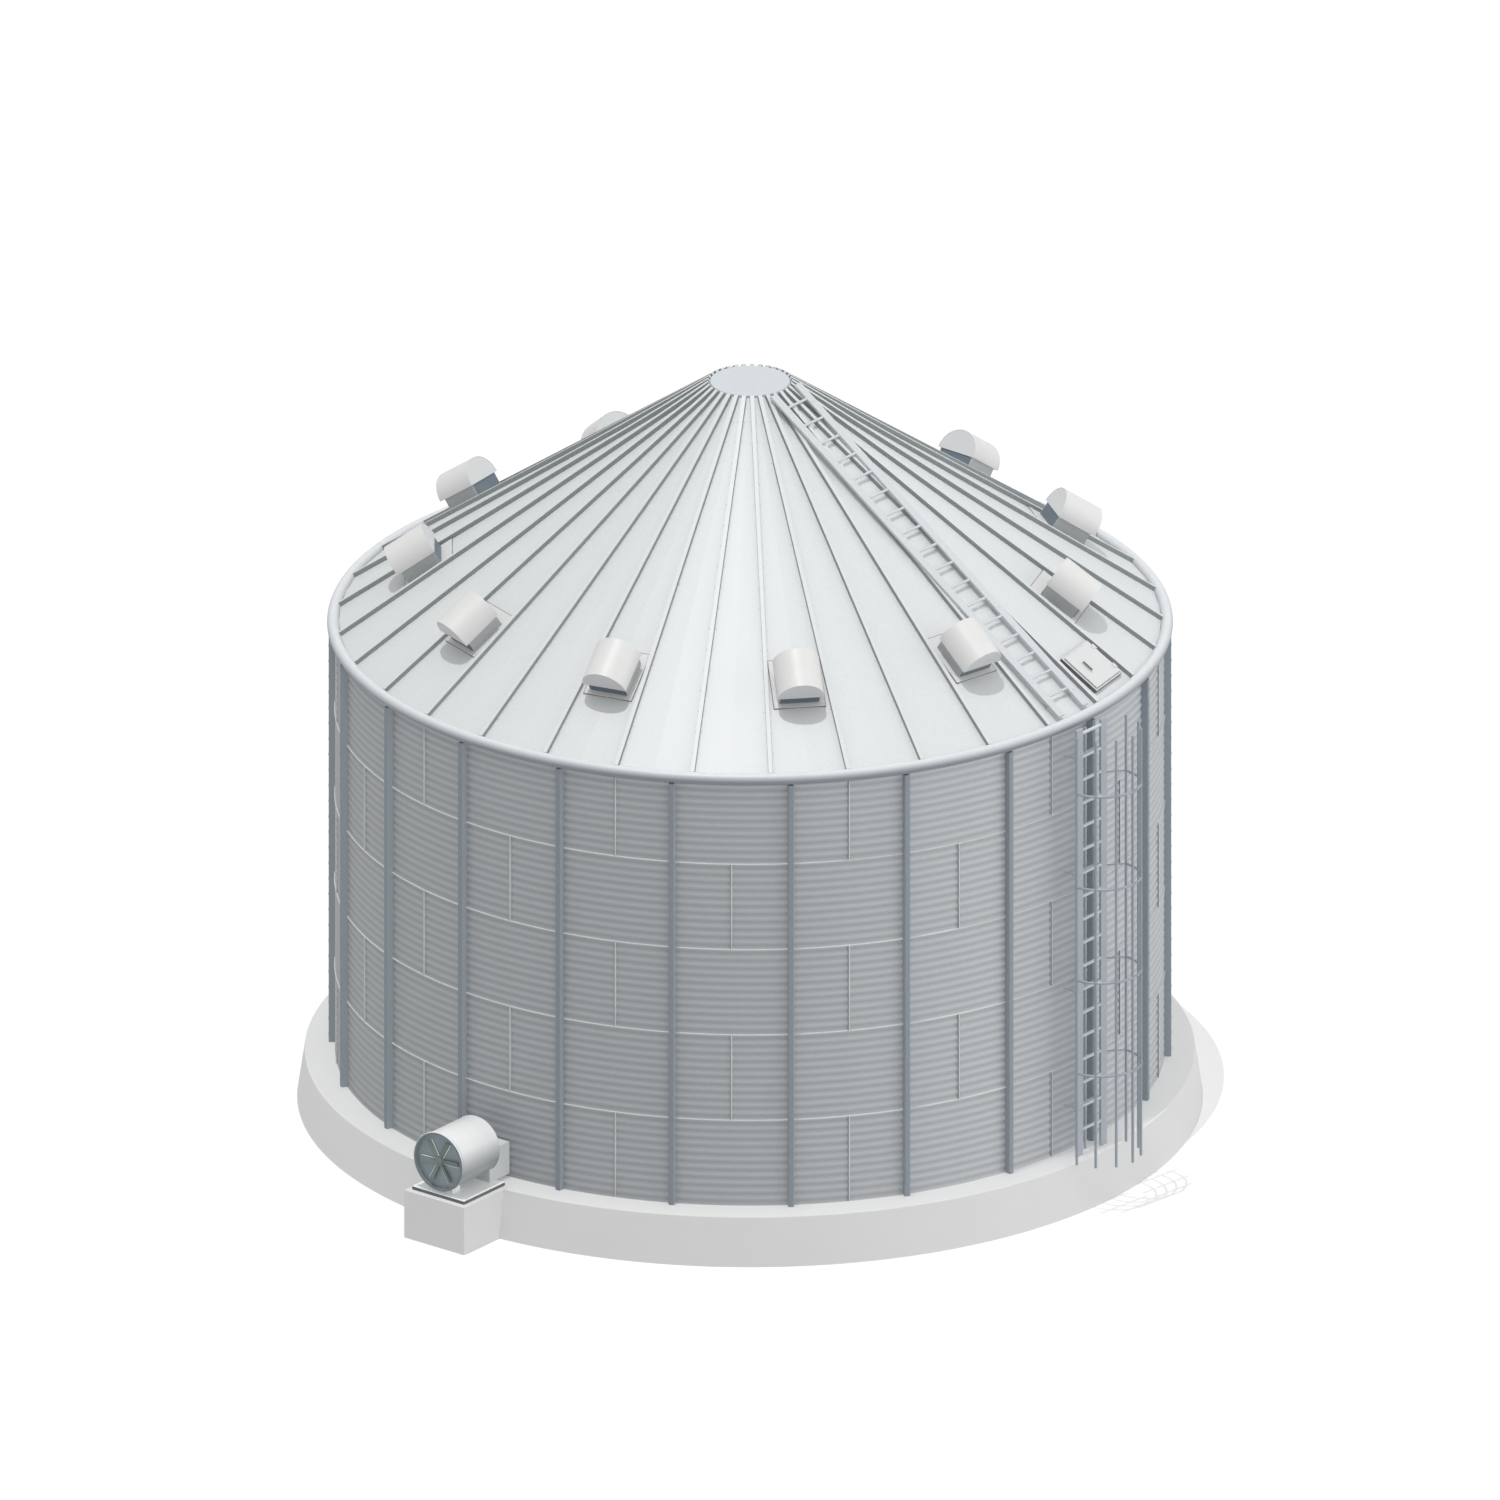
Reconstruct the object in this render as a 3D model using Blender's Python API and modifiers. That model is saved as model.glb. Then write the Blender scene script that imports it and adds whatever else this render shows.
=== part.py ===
"""A round farm grain bin: corrugated wall, ribbed conical roof, vents, hatch, caged ladder and aeration fan.

World frame: +Z up, origin on the ground under the middle of the foundation, metres.
An azimuth is counted from -Y towards +X, so the frame "at" an azimuth has x outwards, y round the bin and z up.
"""

import math

import bmesh
import bpy
from mathutils import Matrix, Vector

# Fit between pieces that touch
GAP = 0.0003

# Round pieces share one division, so that touching facets match
SECTORS = 11
PANELS = 33
FACETS = 66
SECTOR_DEG = 360 / SECTORS
PANEL_DEG = 360 / PANELS
FACET_DEG = 360 / FACETS
RIB_AZIMUTH = 2.87
VENT_AZIMUTH = RIB_AZIMUTH + PANEL_DEG / 2
WALL_SEAM_AZIMUTH = RIB_AZIMUTH + PANEL_DEG
STIFFENER_STEP = SECTOR_DEG / 2

# Foundation
FOUNDATION_HEIGHT = 0.62
FOUNDATION_BOTTOM_RADIUS = 5.49
FOUNDATION_TOP_RADIUS = 5.40
FOUNDATION_SIDES = 132

# Wall: five rings of sheet, a band over each horizontal lap, a stiffener twice a sheet
RINGS = 5
RING_HEIGHT = 1.1176
WALL_RADIUS = 5.030
WALL_THICKNESS = 0.020
WALL_TOP = FOUNDATION_HEIGHT + RINGS * RING_HEIGHT
BAND_RADIUS = 5.056
BAND_HEIGHT = 0.020
STIFFENER_OUTER_RADIUS = 5.111
STIFFENER_INNER_RADIUS = 5.015
STIFFENER_WIDTH = 0.066

# Eave ring: a tube on the stiffeners' tops, which holds the roof's edge
EAVE_RADIUS = 5.054
EAVE_TUBE_RADIUS = 0.073
EAVE_TUBE_SIDES = 12
EAVE_Z = WALL_TOP + 0.003

# Roof
ROOF_SLOPE = math.radians(34.6)
ROOF_APEX_Z = 9.663
ROOF_THICKNESS = 0.012
ROOF_INNER_RADIUS = 0.462
RIB_WIDTH = 0.050
RIB_HEIGHT = 0.055
RIB_SINK = 0.006
CAP_RADIUS = 0.481
CAP_TOP_Z = 9.3635
CAP_THICKNESS = 0.022
COLLAR_RADIUS = 0.4545
COLLAR_THICKNESS = 0.03
COLLAR_BOTTOM_Z = 9.28

# Roof vents: flange, neck and half-round hood, along the slope from the flange's lower edge
VENT_EDGE_RADIUS = 4.18
FLANGE_LENGTH = 0.69
FLANGE_WIDTH = 0.625
FLANGE_THICKNESS = 0.006
HOOD_RADIUS = 0.285
HOOD_LENGTH = 0.55
HOOD_SKIN = 0.010
HOOD_SETBACK = 0.010
HOOD_BASE = 0.180
HOOD_SIDES = 14
NECK_WIDTH = 0.50
NECK_BACK = 0.020
NECK_FRONT = 0.053
NECK_SKIN = 0.020
NECK_TOP = 0.300

# Roof hatch, beside the ladder
HATCH_AZIMUTH = RIB_AZIMUTH + 5.5 * PANEL_DEG
HATCH_RADIUS = 4.63
FRAME_WIDTH = 0.665
FRAME_LENGTH = 0.585
FRAME_HEIGHT = 0.042
HATCH_WIDTH = 0.585
HATCH_LENGTH = 0.505
LID_WIDTH = 0.61
LID_LENGTH = 0.53
LID_THICKNESS = 0.020
HINGE_OFFSET = 0.325
HINGE_HEIGHT = 0.060
KNUCKLE_RADIUS = 0.010
KNUCKLE_LENGTH = 0.06
KNUCKLE_PLACES = (-0.17, 0.17)
PIN_RADIUS = 0.005
BORE_RADIUS = 0.0058
EAR_THICKNESS = 0.008
EAR_PLAY = 0.002

# Ladders
LADDER_AZIMUTH = 51.8
RAIL_OFFSET = 0.235
RAIL_WIDTH = 0.117
RAIL_DEPTH = 0.034
RUNG_RADIUS = 0.0165
RUNG_SIDES = 10
RUNG_PITCH = 0.3048
WALL_RAIL_RADIUS = 5.260
WALL_RUNGS = 18
WALL_FIRST_RUNG_Z = 0.95
GUIDE_BAR_RADIUS = 5.170
GUIDE_BAR_SIZE = (0.031, 0.024)
STANDOFF_RUNGS = (1, 6, 11, 16)
STANDOFF_DROP = 0.022
STANDOFF_SIZE = (0.012, 0.036)
ROOF_RUNGS = 17
ROOF_RAIL_START = 0.50
ROOF_RAIL_END = 4.95
ROOF_LAST_RUNG = 4.70
ROOF_FEET = (0.75, 2.23, 3.60, 4.75)
FOOT_SIZE = (0.060, 0.036)

# Safety cage
CAGE_RADIUS = 0.483
CAGE_CENTRE = 5.420
CAGE_BARS = 7
CAGE_BAR_RADIUS = 0.017
HOOP_RADIUS = 0.016
HOOP_STEPS = 12
HOOP_FIRST_Z = 1.82
HOOP_PITCH = 1.2192
HOOPS = 4
TUBE_SIDES = 8

# Aeration fan on its own pad
FAN_AZIMUTH = -38.45
PAD_OUTER = 6.156
PAD_WIDTH = 0.926
BASE_PLATE_INNER = 5.283
BASE_PLATE_OUTER = 6.080
BASE_PLATE_WIDTH = 0.804
BASE_PLATE_THICKNESS = 0.045
FAN_AXIS_Z = 1.080
FAN_SIDES = 32
HOUSING_BACK = 5.330
HOUSING_FRONT = 6.077
HOUSING_RADIUS = 0.365
HOUSING_SKIN = 0.010
RIM_RADIUS = 0.380
RIM_LENGTH = 0.025
BACKPLATE_FRONT = 6.030
BACKPLATE_THICKNESS = 0.015
MOTOR_BOSS = (0.09, 0.06)
SHAFT_RADIUS = 0.018
SHAFT_BORE_RADIUS = 0.0186
HUB_RADIUS = 0.050
HUB_LENGTH = 0.036
ROTOR_MIDDLE = 6.056
BLADES = 6
BLADE_PHASE = 3.0
BLADE_TIP = 0.29
BLADE_CHORD = 0.080
BLADE_THICKNESS = 0.006
BLADE_PITCH = 24.0
TRANSITION_INNER = 5.0275
TRANSITION_OUTER = 5.415
TRANSITION_WIDTH = 0.54
TRANSITION_TOP = 1.083
SADDLE_PLACE = (5.80, 5.95)
SADDLE_WIDTH = 0.24
SADDLE_TOP = 0.76

# Finishes: base colour, metallic, roughness
FINISHES = {
    "concrete": ((0.70, 0.70, 0.69), 0.0, 0.9),
    "galvanised wall": ((0.38, 0.41, 0.43), 0.7, 0.45),
    "galvanised roof": ((0.66, 0.69, 0.71), 0.6, 0.4),
    "galvanised tube": ((0.55, 0.59, 0.64), 0.7, 0.35),
    "white steel": ((0.78, 0.79, 0.79), 0.1, 0.5),
    "dark steel": ((0.13, 0.15, 0.17), 0.5, 0.5),
}

parts = None
cutters = None


def start_scene():
    """Clear the scene and make the two collections."""
    global parts, cutters
    for old in list(bpy.data.objects):
        bpy.data.objects.remove(old, do_unlink=True)
    parts = bpy.data.collections.new("grain bin")
    cutters = bpy.data.collections.new("cutters")
    for collection in (parts, cutters):
        bpy.context.scene.collection.children.link(collection)
    for name, (colour, metallic, roughness) in FINISHES.items():
        material = bpy.data.materials.new(name)
        material.use_nodes = True
        shader = material.node_tree.nodes["Principled BSDF"]
        shader.inputs["Base Color"].default_value = (*colour, 1.0)
        shader.inputs["Metallic"].default_value = metallic
        shader.inputs["Roughness"].default_value = roughness


def at_azimuth(degrees):
    """Frame on the bin's axis with x pointing outwards at this azimuth."""
    return Matrix.Rotation(math.radians(degrees - 90), 4, "Z")


def on_slope(degrees):
    """Frame at the roof's apex with x down the slope, y round the bin and z square to the roof."""
    return at_azimuth(degrees) @ Matrix.Translation((0, 0, ROOF_APEX_Z)) @ Matrix.Rotation(ROOF_SLOPE, 4, "Y")


def down_slope(radius):
    """Distance down the slope from the apex to this horizontal radius."""
    return radius / math.cos(ROOF_SLOPE)


def slope_point(s, n):
    """(radius, z) of the point s down the slope and n above the roof."""
    cosine, sine = math.cos(ROOF_SLOPE), math.sin(ROOF_SLOPE)
    return s * cosine + n * sine, ROOF_APEX_Z - s * sine + n * cosine


# Shapes: each adds closed solids to a bmesh


def add_box(bm, low, high, frame=Matrix()):
    low, high = Vector(low), Vector(high)
    place = Matrix.Translation((low + high) / 2) @ Matrix.Diagonal((*(high - low), 1.0))
    bmesh.ops.create_cube(bm, size=1.0, matrix=frame @ place)


def add_rod(bm, start, end, radius, sides, frame=Matrix(), turn=0.0):
    start, end = Vector(start), Vector(end)
    axis = end - start
    place = Matrix.Translation((start + end) / 2) @ axis.to_track_quat("Z", "Y").to_matrix().to_4x4()
    place = place @ Matrix.Rotation(turn, 4, "Z")
    bmesh.ops.create_cone(
        bm, cap_ends=True, segments=sides, radius1=radius, radius2=radius, depth=axis.length, matrix=frame @ place
    )


def add_prism(bm, outline, start, end, frame=Matrix()):
    """Outline of (y, z) points, pushed from x = start to x = end."""
    face = bm.faces.new([bm.verts.new(frame @ Vector((start, y, z))) for y, z in outline])
    pushed = bmesh.ops.extrude_face_region(bm, geom=[face])["geom"]
    moved = [item for item in pushed if isinstance(item, bmesh.types.BMVert)]
    bmesh.ops.translate(bm, verts=moved, vec=frame.to_3x3() @ Vector((end - start, 0, 0)))


def add_sweep(bm, outline, start_deg, end_deg, steps):
    """Outline of (radius, z) points, swept about Z from one azimuth to the other."""
    first = at_azimuth(start_deg)
    face = bm.faces.new([bm.verts.new(first @ Vector((r, 0, z))) for r, z in outline])
    bmesh.ops.spin(
        bm,
        geom=[face, *face.edges, *face.verts],
        cent=(0, 0, 0),
        axis=(0, 0, 1),
        angle=math.radians(end_deg - start_deg),
        steps=steps,
        use_merge=False,
    )


def add_arc_tube(bm, radius, centre, z, tube, sides, start_deg, end_deg, steps, frame):
    """Bent tube: a ring of this radius about a vertical axis at x = centre."""
    rings = []
    for index in range(steps + 1):
        angle = math.radians(start_deg + (end_deg - start_deg) * index / steps)
        out = Vector((math.cos(angle), math.sin(angle), 0))
        rings.append([])
        for side in range(sides):
            turn = 2 * math.pi * side / sides
            point = Vector((centre, 0, z)) + out * (radius + tube * math.cos(turn)) + Vector((0, 0, tube * math.sin(turn)))
            rings[-1].append(bm.verts.new(frame @ point))
    for ring, after in zip(rings, rings[1:]):
        for side in range(sides):
            other = (side + 1) % sides
            bm.faces.new((ring[side], ring[other], after[other], after[side]))
    bm.faces.new(rings[0])
    bm.faces.new(rings[-1])


def solid(fill, *details):
    """Mesh of what one of the functions above, or several in a function, adds to an empty bmesh."""
    bm = bmesh.new()
    fill(bm, *details)
    bmesh.ops.recalc_face_normals(bm, faces=bm.faces[:])
    mesh = bpy.data.meshes.new("shape")
    bm.to_mesh(mesh)
    bm.free()
    return mesh


def turned(profile, steps, frame):
    """Mesh of a profile of (radius, height) points turned about the frame's z axis with a Screw modifier."""
    mesh = bpy.data.meshes.new("profile")
    mesh.from_pydata([(r, 0, h) for r, h in profile], [(i, i + 1) for i in range(len(profile) - 1)], [])
    lathe = bpy.data.objects.new("lathe", mesh)
    cutters.objects.link(lathe)
    screw = lathe.modifiers.new("turn", "SCREW")
    screw.steps = screw.render_steps = steps
    screw.use_merge_vertices = True
    screw.merge_threshold = 0.00001
    made = evaluated_mesh(lathe)
    bm = bmesh.new()
    bm.from_mesh(made)
    bmesh.ops.remove_doubles(bm, verts=bm.verts[:], dist=0.00001)
    bmesh.ops.recalc_face_normals(bm, faces=bm.faces[:])
    bm.to_mesh(made)
    bm.free()
    made.transform(frame)
    return made


def evaluated_mesh(thing):
    """The object's mesh with its modifiers applied; the object and its cutters go."""
    graph = bpy.context.evaluated_depsgraph_get()
    made = bpy.data.meshes.new_from_object(thing.evaluated_get(graph))
    helpers = [m.object for m in thing.modifiers if m.type == "BOOLEAN"]
    for used in [*helpers, thing]:
        bpy.data.objects.remove(used, do_unlink=True)
    return made


def combined(base, *steps):
    """Mesh of base after Boolean steps, each (operation, mesh)."""
    thing = bpy.data.objects.new("blank", base)
    cutters.objects.link(thing)
    for operation, mesh in steps:
        cutter = bpy.data.objects.new("cutter", mesh)
        cutters.objects.link(cutter)
        cutter.hide_render = True
        cutter.display_type = "WIRE"
        boolean = thing.modifiers.new(operation.lower(), "BOOLEAN")
        boolean.operation = operation
        boolean.solver = "EXACT"
        boolean.object = cutter
    bpy.context.view_layer.update()
    return evaluated_mesh(thing)


def trimmed(mesh, cuts):
    """Mesh cut by planes (point, outward normal), with the cut faces closed."""
    bm = bmesh.new()
    bm.from_mesh(mesh)
    for point, normal in cuts:
        everything = [*bm.verts, *bm.edges, *bm.faces]
        cut = bmesh.ops.bisect_plane(bm, geom=everything, dist=0.000001, plane_co=point, plane_no=normal, clear_outer=True)
        edges = [item for item in cut["geom_cut"] if isinstance(item, bmesh.types.BMEdge)]
        bmesh.ops.holes_fill(bm, edges=edges, sides=0)
    bmesh.ops.recalc_face_normals(bm, faces=bm.faces[:])
    bm.to_mesh(mesh)
    bm.free()
    return mesh


def place(name, mesh, finish, azimuth=None, origin=None, smooth=True):
    """Part from a mesh in world coordinates, or turned to an azimuth, with its origin where asked."""
    thing = bpy.data.objects.new(name, mesh)
    parts.objects.link(thing)
    if not mesh.materials:
        mesh.materials.append(bpy.data.materials[finish])
    if smooth:
        mesh.shade_smooth()
        mesh.set_sharp_from_angle(angle=math.radians(30))
    if azimuth is not None:
        thing.matrix_world = at_azimuth(azimuth)
    if origin is not None:
        mesh.transform(Matrix.Translation(-Vector(origin)))
        thing.location = origin
    return thing


# Foundation and wall


def add_foundation(bm, bottom, top, spread):
    """The foundation's tapered disc between two heights, wider by spread."""
    taper = (FOUNDATION_BOTTOM_RADIUS - FOUNDATION_TOP_RADIUS) / FOUNDATION_HEIGHT
    bmesh.ops.create_cone(
        bm,
        cap_ends=True,
        segments=FOUNDATION_SIDES,
        radius1=FOUNDATION_BOTTOM_RADIUS - taper * bottom + spread,
        radius2=FOUNDATION_BOTTOM_RADIUS - taper * top + spread,
        depth=top - bottom,
        matrix=at_azimuth(RIB_AZIMUTH) @ Matrix.Translation((0, 0, (bottom + top) / 2)),
    )


def make_foundation():
    place("foundation", solid(add_foundation, 0, FOUNDATION_HEIGHT, 0), "concrete")


def make_wall():
    """Eleven wall segments, each one sheet wide with its laps' bands and its two stiffeners."""
    bottom = FOUNDATION_HEIGHT + GAP
    stiffener_top = EAVE_Z - EAVE_TUBE_RADIUS - GAP
    top = stiffener_top - 0.001
    inner = WALL_RADIUS - WALL_THICKNESS
    outline = [(inner, bottom), (WALL_RADIUS, bottom)]
    for ring in range(1, RINGS):
        lap = FOUNDATION_HEIGHT + ring * RING_HEIGHT
        low, high = lap - BAND_HEIGHT / 2, lap + BAND_HEIGHT / 2
        outline += [(WALL_RADIUS, low), (BAND_RADIUS, low), (BAND_RADIUS, high), (WALL_RADIUS, high)]
    outline += [(WALL_RADIUS, top), (inner, top)]
    half = SECTOR_DEG / 2 - math.degrees(GAP / 2 / WALL_RADIUS)
    sheet = solid(add_sweep, outline, -half, half, FACETS // SECTORS)

    def add_stiffeners(bm):
        for side in (-0.5, 0.5):
            frame = at_azimuth(side * STIFFENER_STEP)
            low = (STIFFENER_INNER_RADIUS, -STIFFENER_WIDTH / 2, bottom + 0.001)
            add_box(bm, low, (STIFFENER_OUTER_RADIUS, STIFFENER_WIDTH / 2, stiffener_top), frame)

    segment = combined(sheet, ("UNION", solid(add_stiffeners)))
    segment.transform(at_azimuth(0).inverted())
    for index in range(SECTORS):
        azimuth = WALL_SEAM_AZIMUTH + (index + 0.5) * SECTOR_DEG
        place(f"wall_segment_{index + 1:02d}", segment, "galvanised wall", azimuth)


def make_eave_ring():
    profile = []
    for side in range(EAVE_TUBE_SIDES + 1):
        turn = 2 * math.pi * side / EAVE_TUBE_SIDES
        profile.append((EAVE_RADIUS + EAVE_TUBE_RADIUS * math.cos(turn), EAVE_Z - EAVE_TUBE_RADIUS * math.sin(turn)))
    place("eave_ring", turned(profile, FACETS, at_azimuth(RIB_AZIMUTH)), "galvanised tube")


# Roof


def ring_contact(low, high):
    """Distance down the slope at which a layer of the roof, from low to high above it, meets the eave ring."""
    corners = []
    for side in range(EAVE_TUBE_SIDES):
        turn = 2 * math.pi * side / EAVE_TUBE_SIDES
        r = EAVE_RADIUS + EAVE_TUBE_RADIUS * math.cos(turn)
        z = EAVE_Z - EAVE_TUBE_RADIUS * math.sin(turn) - ROOF_APEX_Z
        cosine, sine = math.cos(ROOF_SLOPE), math.sin(ROOF_SLOPE)
        corners.append((r * cosine - z * sine, r * sine + z * cosine))
    crossings = [s for s, n in corners if low <= n <= high]
    for (s, n), (s2, n2) in zip(corners, corners[1:] + corners[:1]):
        for level in (low, high):
            if (n - level) * (n2 - level) < 0:
                crossings.append(s + (s2 - s) * (level - n) / (n2 - n))
    return min(crossings)


def add_roof_layer(bm, low, high, overhang_deg):
    """Sheet of one sector about azimuth 0, between two levels above the roof's surface."""
    start, end = down_slope(ROOF_INNER_RADIUS), ring_contact(-ROOF_THICKNESS, 0) - GAP
    outline = [slope_point(s, n) for s, n in ((start, high), (end, high), (end, low), (start, low))]
    steps = FACETS // SECTORS
    half = SECTOR_DEG / 2 + overhang_deg
    add_sweep(bm, outline, -half, half, steps + (2 if overhang_deg else 0))


def add_ribs(bm):
    end = ring_contact(0, RIB_HEIGHT) - GAP - RIB_WIDTH / 2 * math.tan(math.radians(FACET_DEG / 2))
    start = down_slope(CAP_RADIUS + 2 * GAP)
    for rib in range(-2, 2):
        frame = on_slope((rib + 0.5) * PANEL_DEG)
        add_box(bm, (start, -RIB_WIDTH / 2, -RIB_SINK), (end, RIB_WIDTH / 2, RIB_HEIGHT), frame)


def vent_place():
    """Distances down the slope of the upper and lower ends of the flange, the hood and the neck."""
    low = down_slope(VENT_EDGE_RADIUS)
    hood_low = low - HOOD_SETBACK
    hood_top = hood_low - HOOD_LENGTH
    return (low - FLANGE_LENGTH, low), (hood_top, hood_low), (hood_top + NECK_BACK, hood_low - NECK_FRONT)


def add_neck_bore(bm, frame):
    top, low = vent_place()[2]
    width = NECK_WIDTH / 2 - NECK_SKIN
    add_box(bm, (top + NECK_SKIN, -width, -0.05), (low - NECK_SKIN, width, NECK_TOP + 0.002), frame)


def add_hatch_bore(bm, frame):
    middle = down_slope(HATCH_RADIUS)
    low = (middle - HATCH_LENGTH / 2, -HATCH_WIDTH / 2, -0.05)
    add_box(bm, low, (middle + HATCH_LENGTH / 2, HATCH_WIDTH / 2, FRAME_HEIGHT + 0.002), frame)


def make_roof():
    """Eleven sectors of three panels; the joints run along the middle of every third rib."""
    cuts = []
    for side in (-1, 1):
        frame = at_azimuth(side * SECTOR_DEG / 2)
        outward = frame.to_3x3() @ Vector((0, side, 0))
        cuts.append((-outward * GAP / 2, outward))
    hatch_sector = round((HATCH_AZIMUTH + PANEL_DEG - VENT_AZIMUTH) / SECTOR_DEG)
    hatch_frame = on_slope(HATCH_AZIMUTH - VENT_AZIMUTH - hatch_sector * SECTOR_DEG)
    sheets = []
    for holes in ([(add_neck_bore, on_slope(0))], [(add_neck_bore, on_slope(0)), (add_hatch_bore, hatch_frame)]):
        sheet = solid(add_roof_layer, -ROOF_THICKNESS, 0, FACET_DEG)
        ribbed = combined(sheet, ("UNION", solid(add_ribs)), *[("DIFFERENCE", solid(*hole)) for hole in holes])
        trimmed(ribbed, cuts)
        ribbed.transform(at_azimuth(0).inverted())
        sheets.append(ribbed)
    for index in range(SECTORS):
        sheet = sheets[1 if index == hatch_sector else 0]
        place(f"roof_sector_{index + 1:02d}", sheet, "galvanised roof", VENT_AZIMUTH + index * SECTOR_DEG)


def make_cap():
    """Flat disc over the roof's centre hole, with a collar inside it."""
    edge_z = ROOF_APEX_Z - CAP_RADIUS * math.tan(ROOF_SLOPE) + GAP / math.cos(ROOF_SLOPE)
    collar_z = ROOF_APEX_Z - COLLAR_RADIUS * math.tan(ROOF_SLOPE) + GAP / math.cos(ROOF_SLOPE)
    bore = COLLAR_RADIUS - COLLAR_THICKNESS
    profile = [
        (0, CAP_TOP_Z),
        (CAP_RADIUS, CAP_TOP_Z),
        (CAP_RADIUS, edge_z),
        (COLLAR_RADIUS, collar_z),
        (COLLAR_RADIUS, COLLAR_BOTTOM_Z),
        (bore, COLLAR_BOTTOM_Z),
        (bore, CAP_TOP_Z - CAP_THICKNESS),
        (0, CAP_TOP_Z - CAP_THICKNESS),
    ]
    place("peak_cap", turned(profile, FACETS, at_azimuth(RIB_AZIMUTH)), "galvanised roof")


def hood_outline(radius, foot):
    """Half circle of (y, z) points over the hood's base, closed foot below it."""
    points = []
    for side in range(HOOD_SIDES + 1):
        turn = math.pi * side / HOOD_SIDES
        points.append((radius * math.cos(turn), HOOD_BASE + radius * math.sin(turn)))
    if foot:
        points += [(-radius, HOOD_BASE - foot), (radius, HOOD_BASE - foot)]
    return points


def make_vents():
    """Eleven vents: the neck stands over a hole in the roof and holds the hood along its two upper edges."""
    frame = on_slope(0)
    (flange_top, flange_low), (hood_top, hood_low), (neck_top, neck_low) = vent_place()
    hood = solid(add_prism, hood_outline(HOOD_RADIUS, 0), hood_top, hood_low, frame)
    inside = solid(
        add_prism, hood_outline(HOOD_RADIUS - HOOD_SKIN, 0.01), hood_top + HOOD_SKIN, hood_low - HOOD_SKIN, frame
    )

    def add_neck(bm):
        low = (neck_top, -NECK_WIDTH / 2, -ROOF_THICKNESS)
        add_box(bm, low, (neck_low, NECK_WIDTH / 2, NECK_TOP), frame)

    def add_flange(bm):
        low = (flange_top, -FLANGE_WIDTH / 2, -ROOF_THICKNESS - 0.002)
        add_box(bm, low, (flange_low, FLANGE_WIDTH / 2, FLANGE_THICKNESS), frame)

    vent = combined(
        hood,
        ("DIFFERENCE", inside),
        ("UNION", solid(add_neck)),
        ("UNION", solid(add_flange)),
        ("DIFFERENCE", solid(add_neck_bore, frame)),
        ("DIFFERENCE", solid(add_roof_layer, -0.1, GAP, 0)),
    )
    vent.transform(at_azimuth(0).inverted())
    for index in range(SECTORS):
        place(f"roof_vent_{index + 1:02d}", vent, "white steel", VENT_AZIMUTH + index * SECTOR_DEG)


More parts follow.
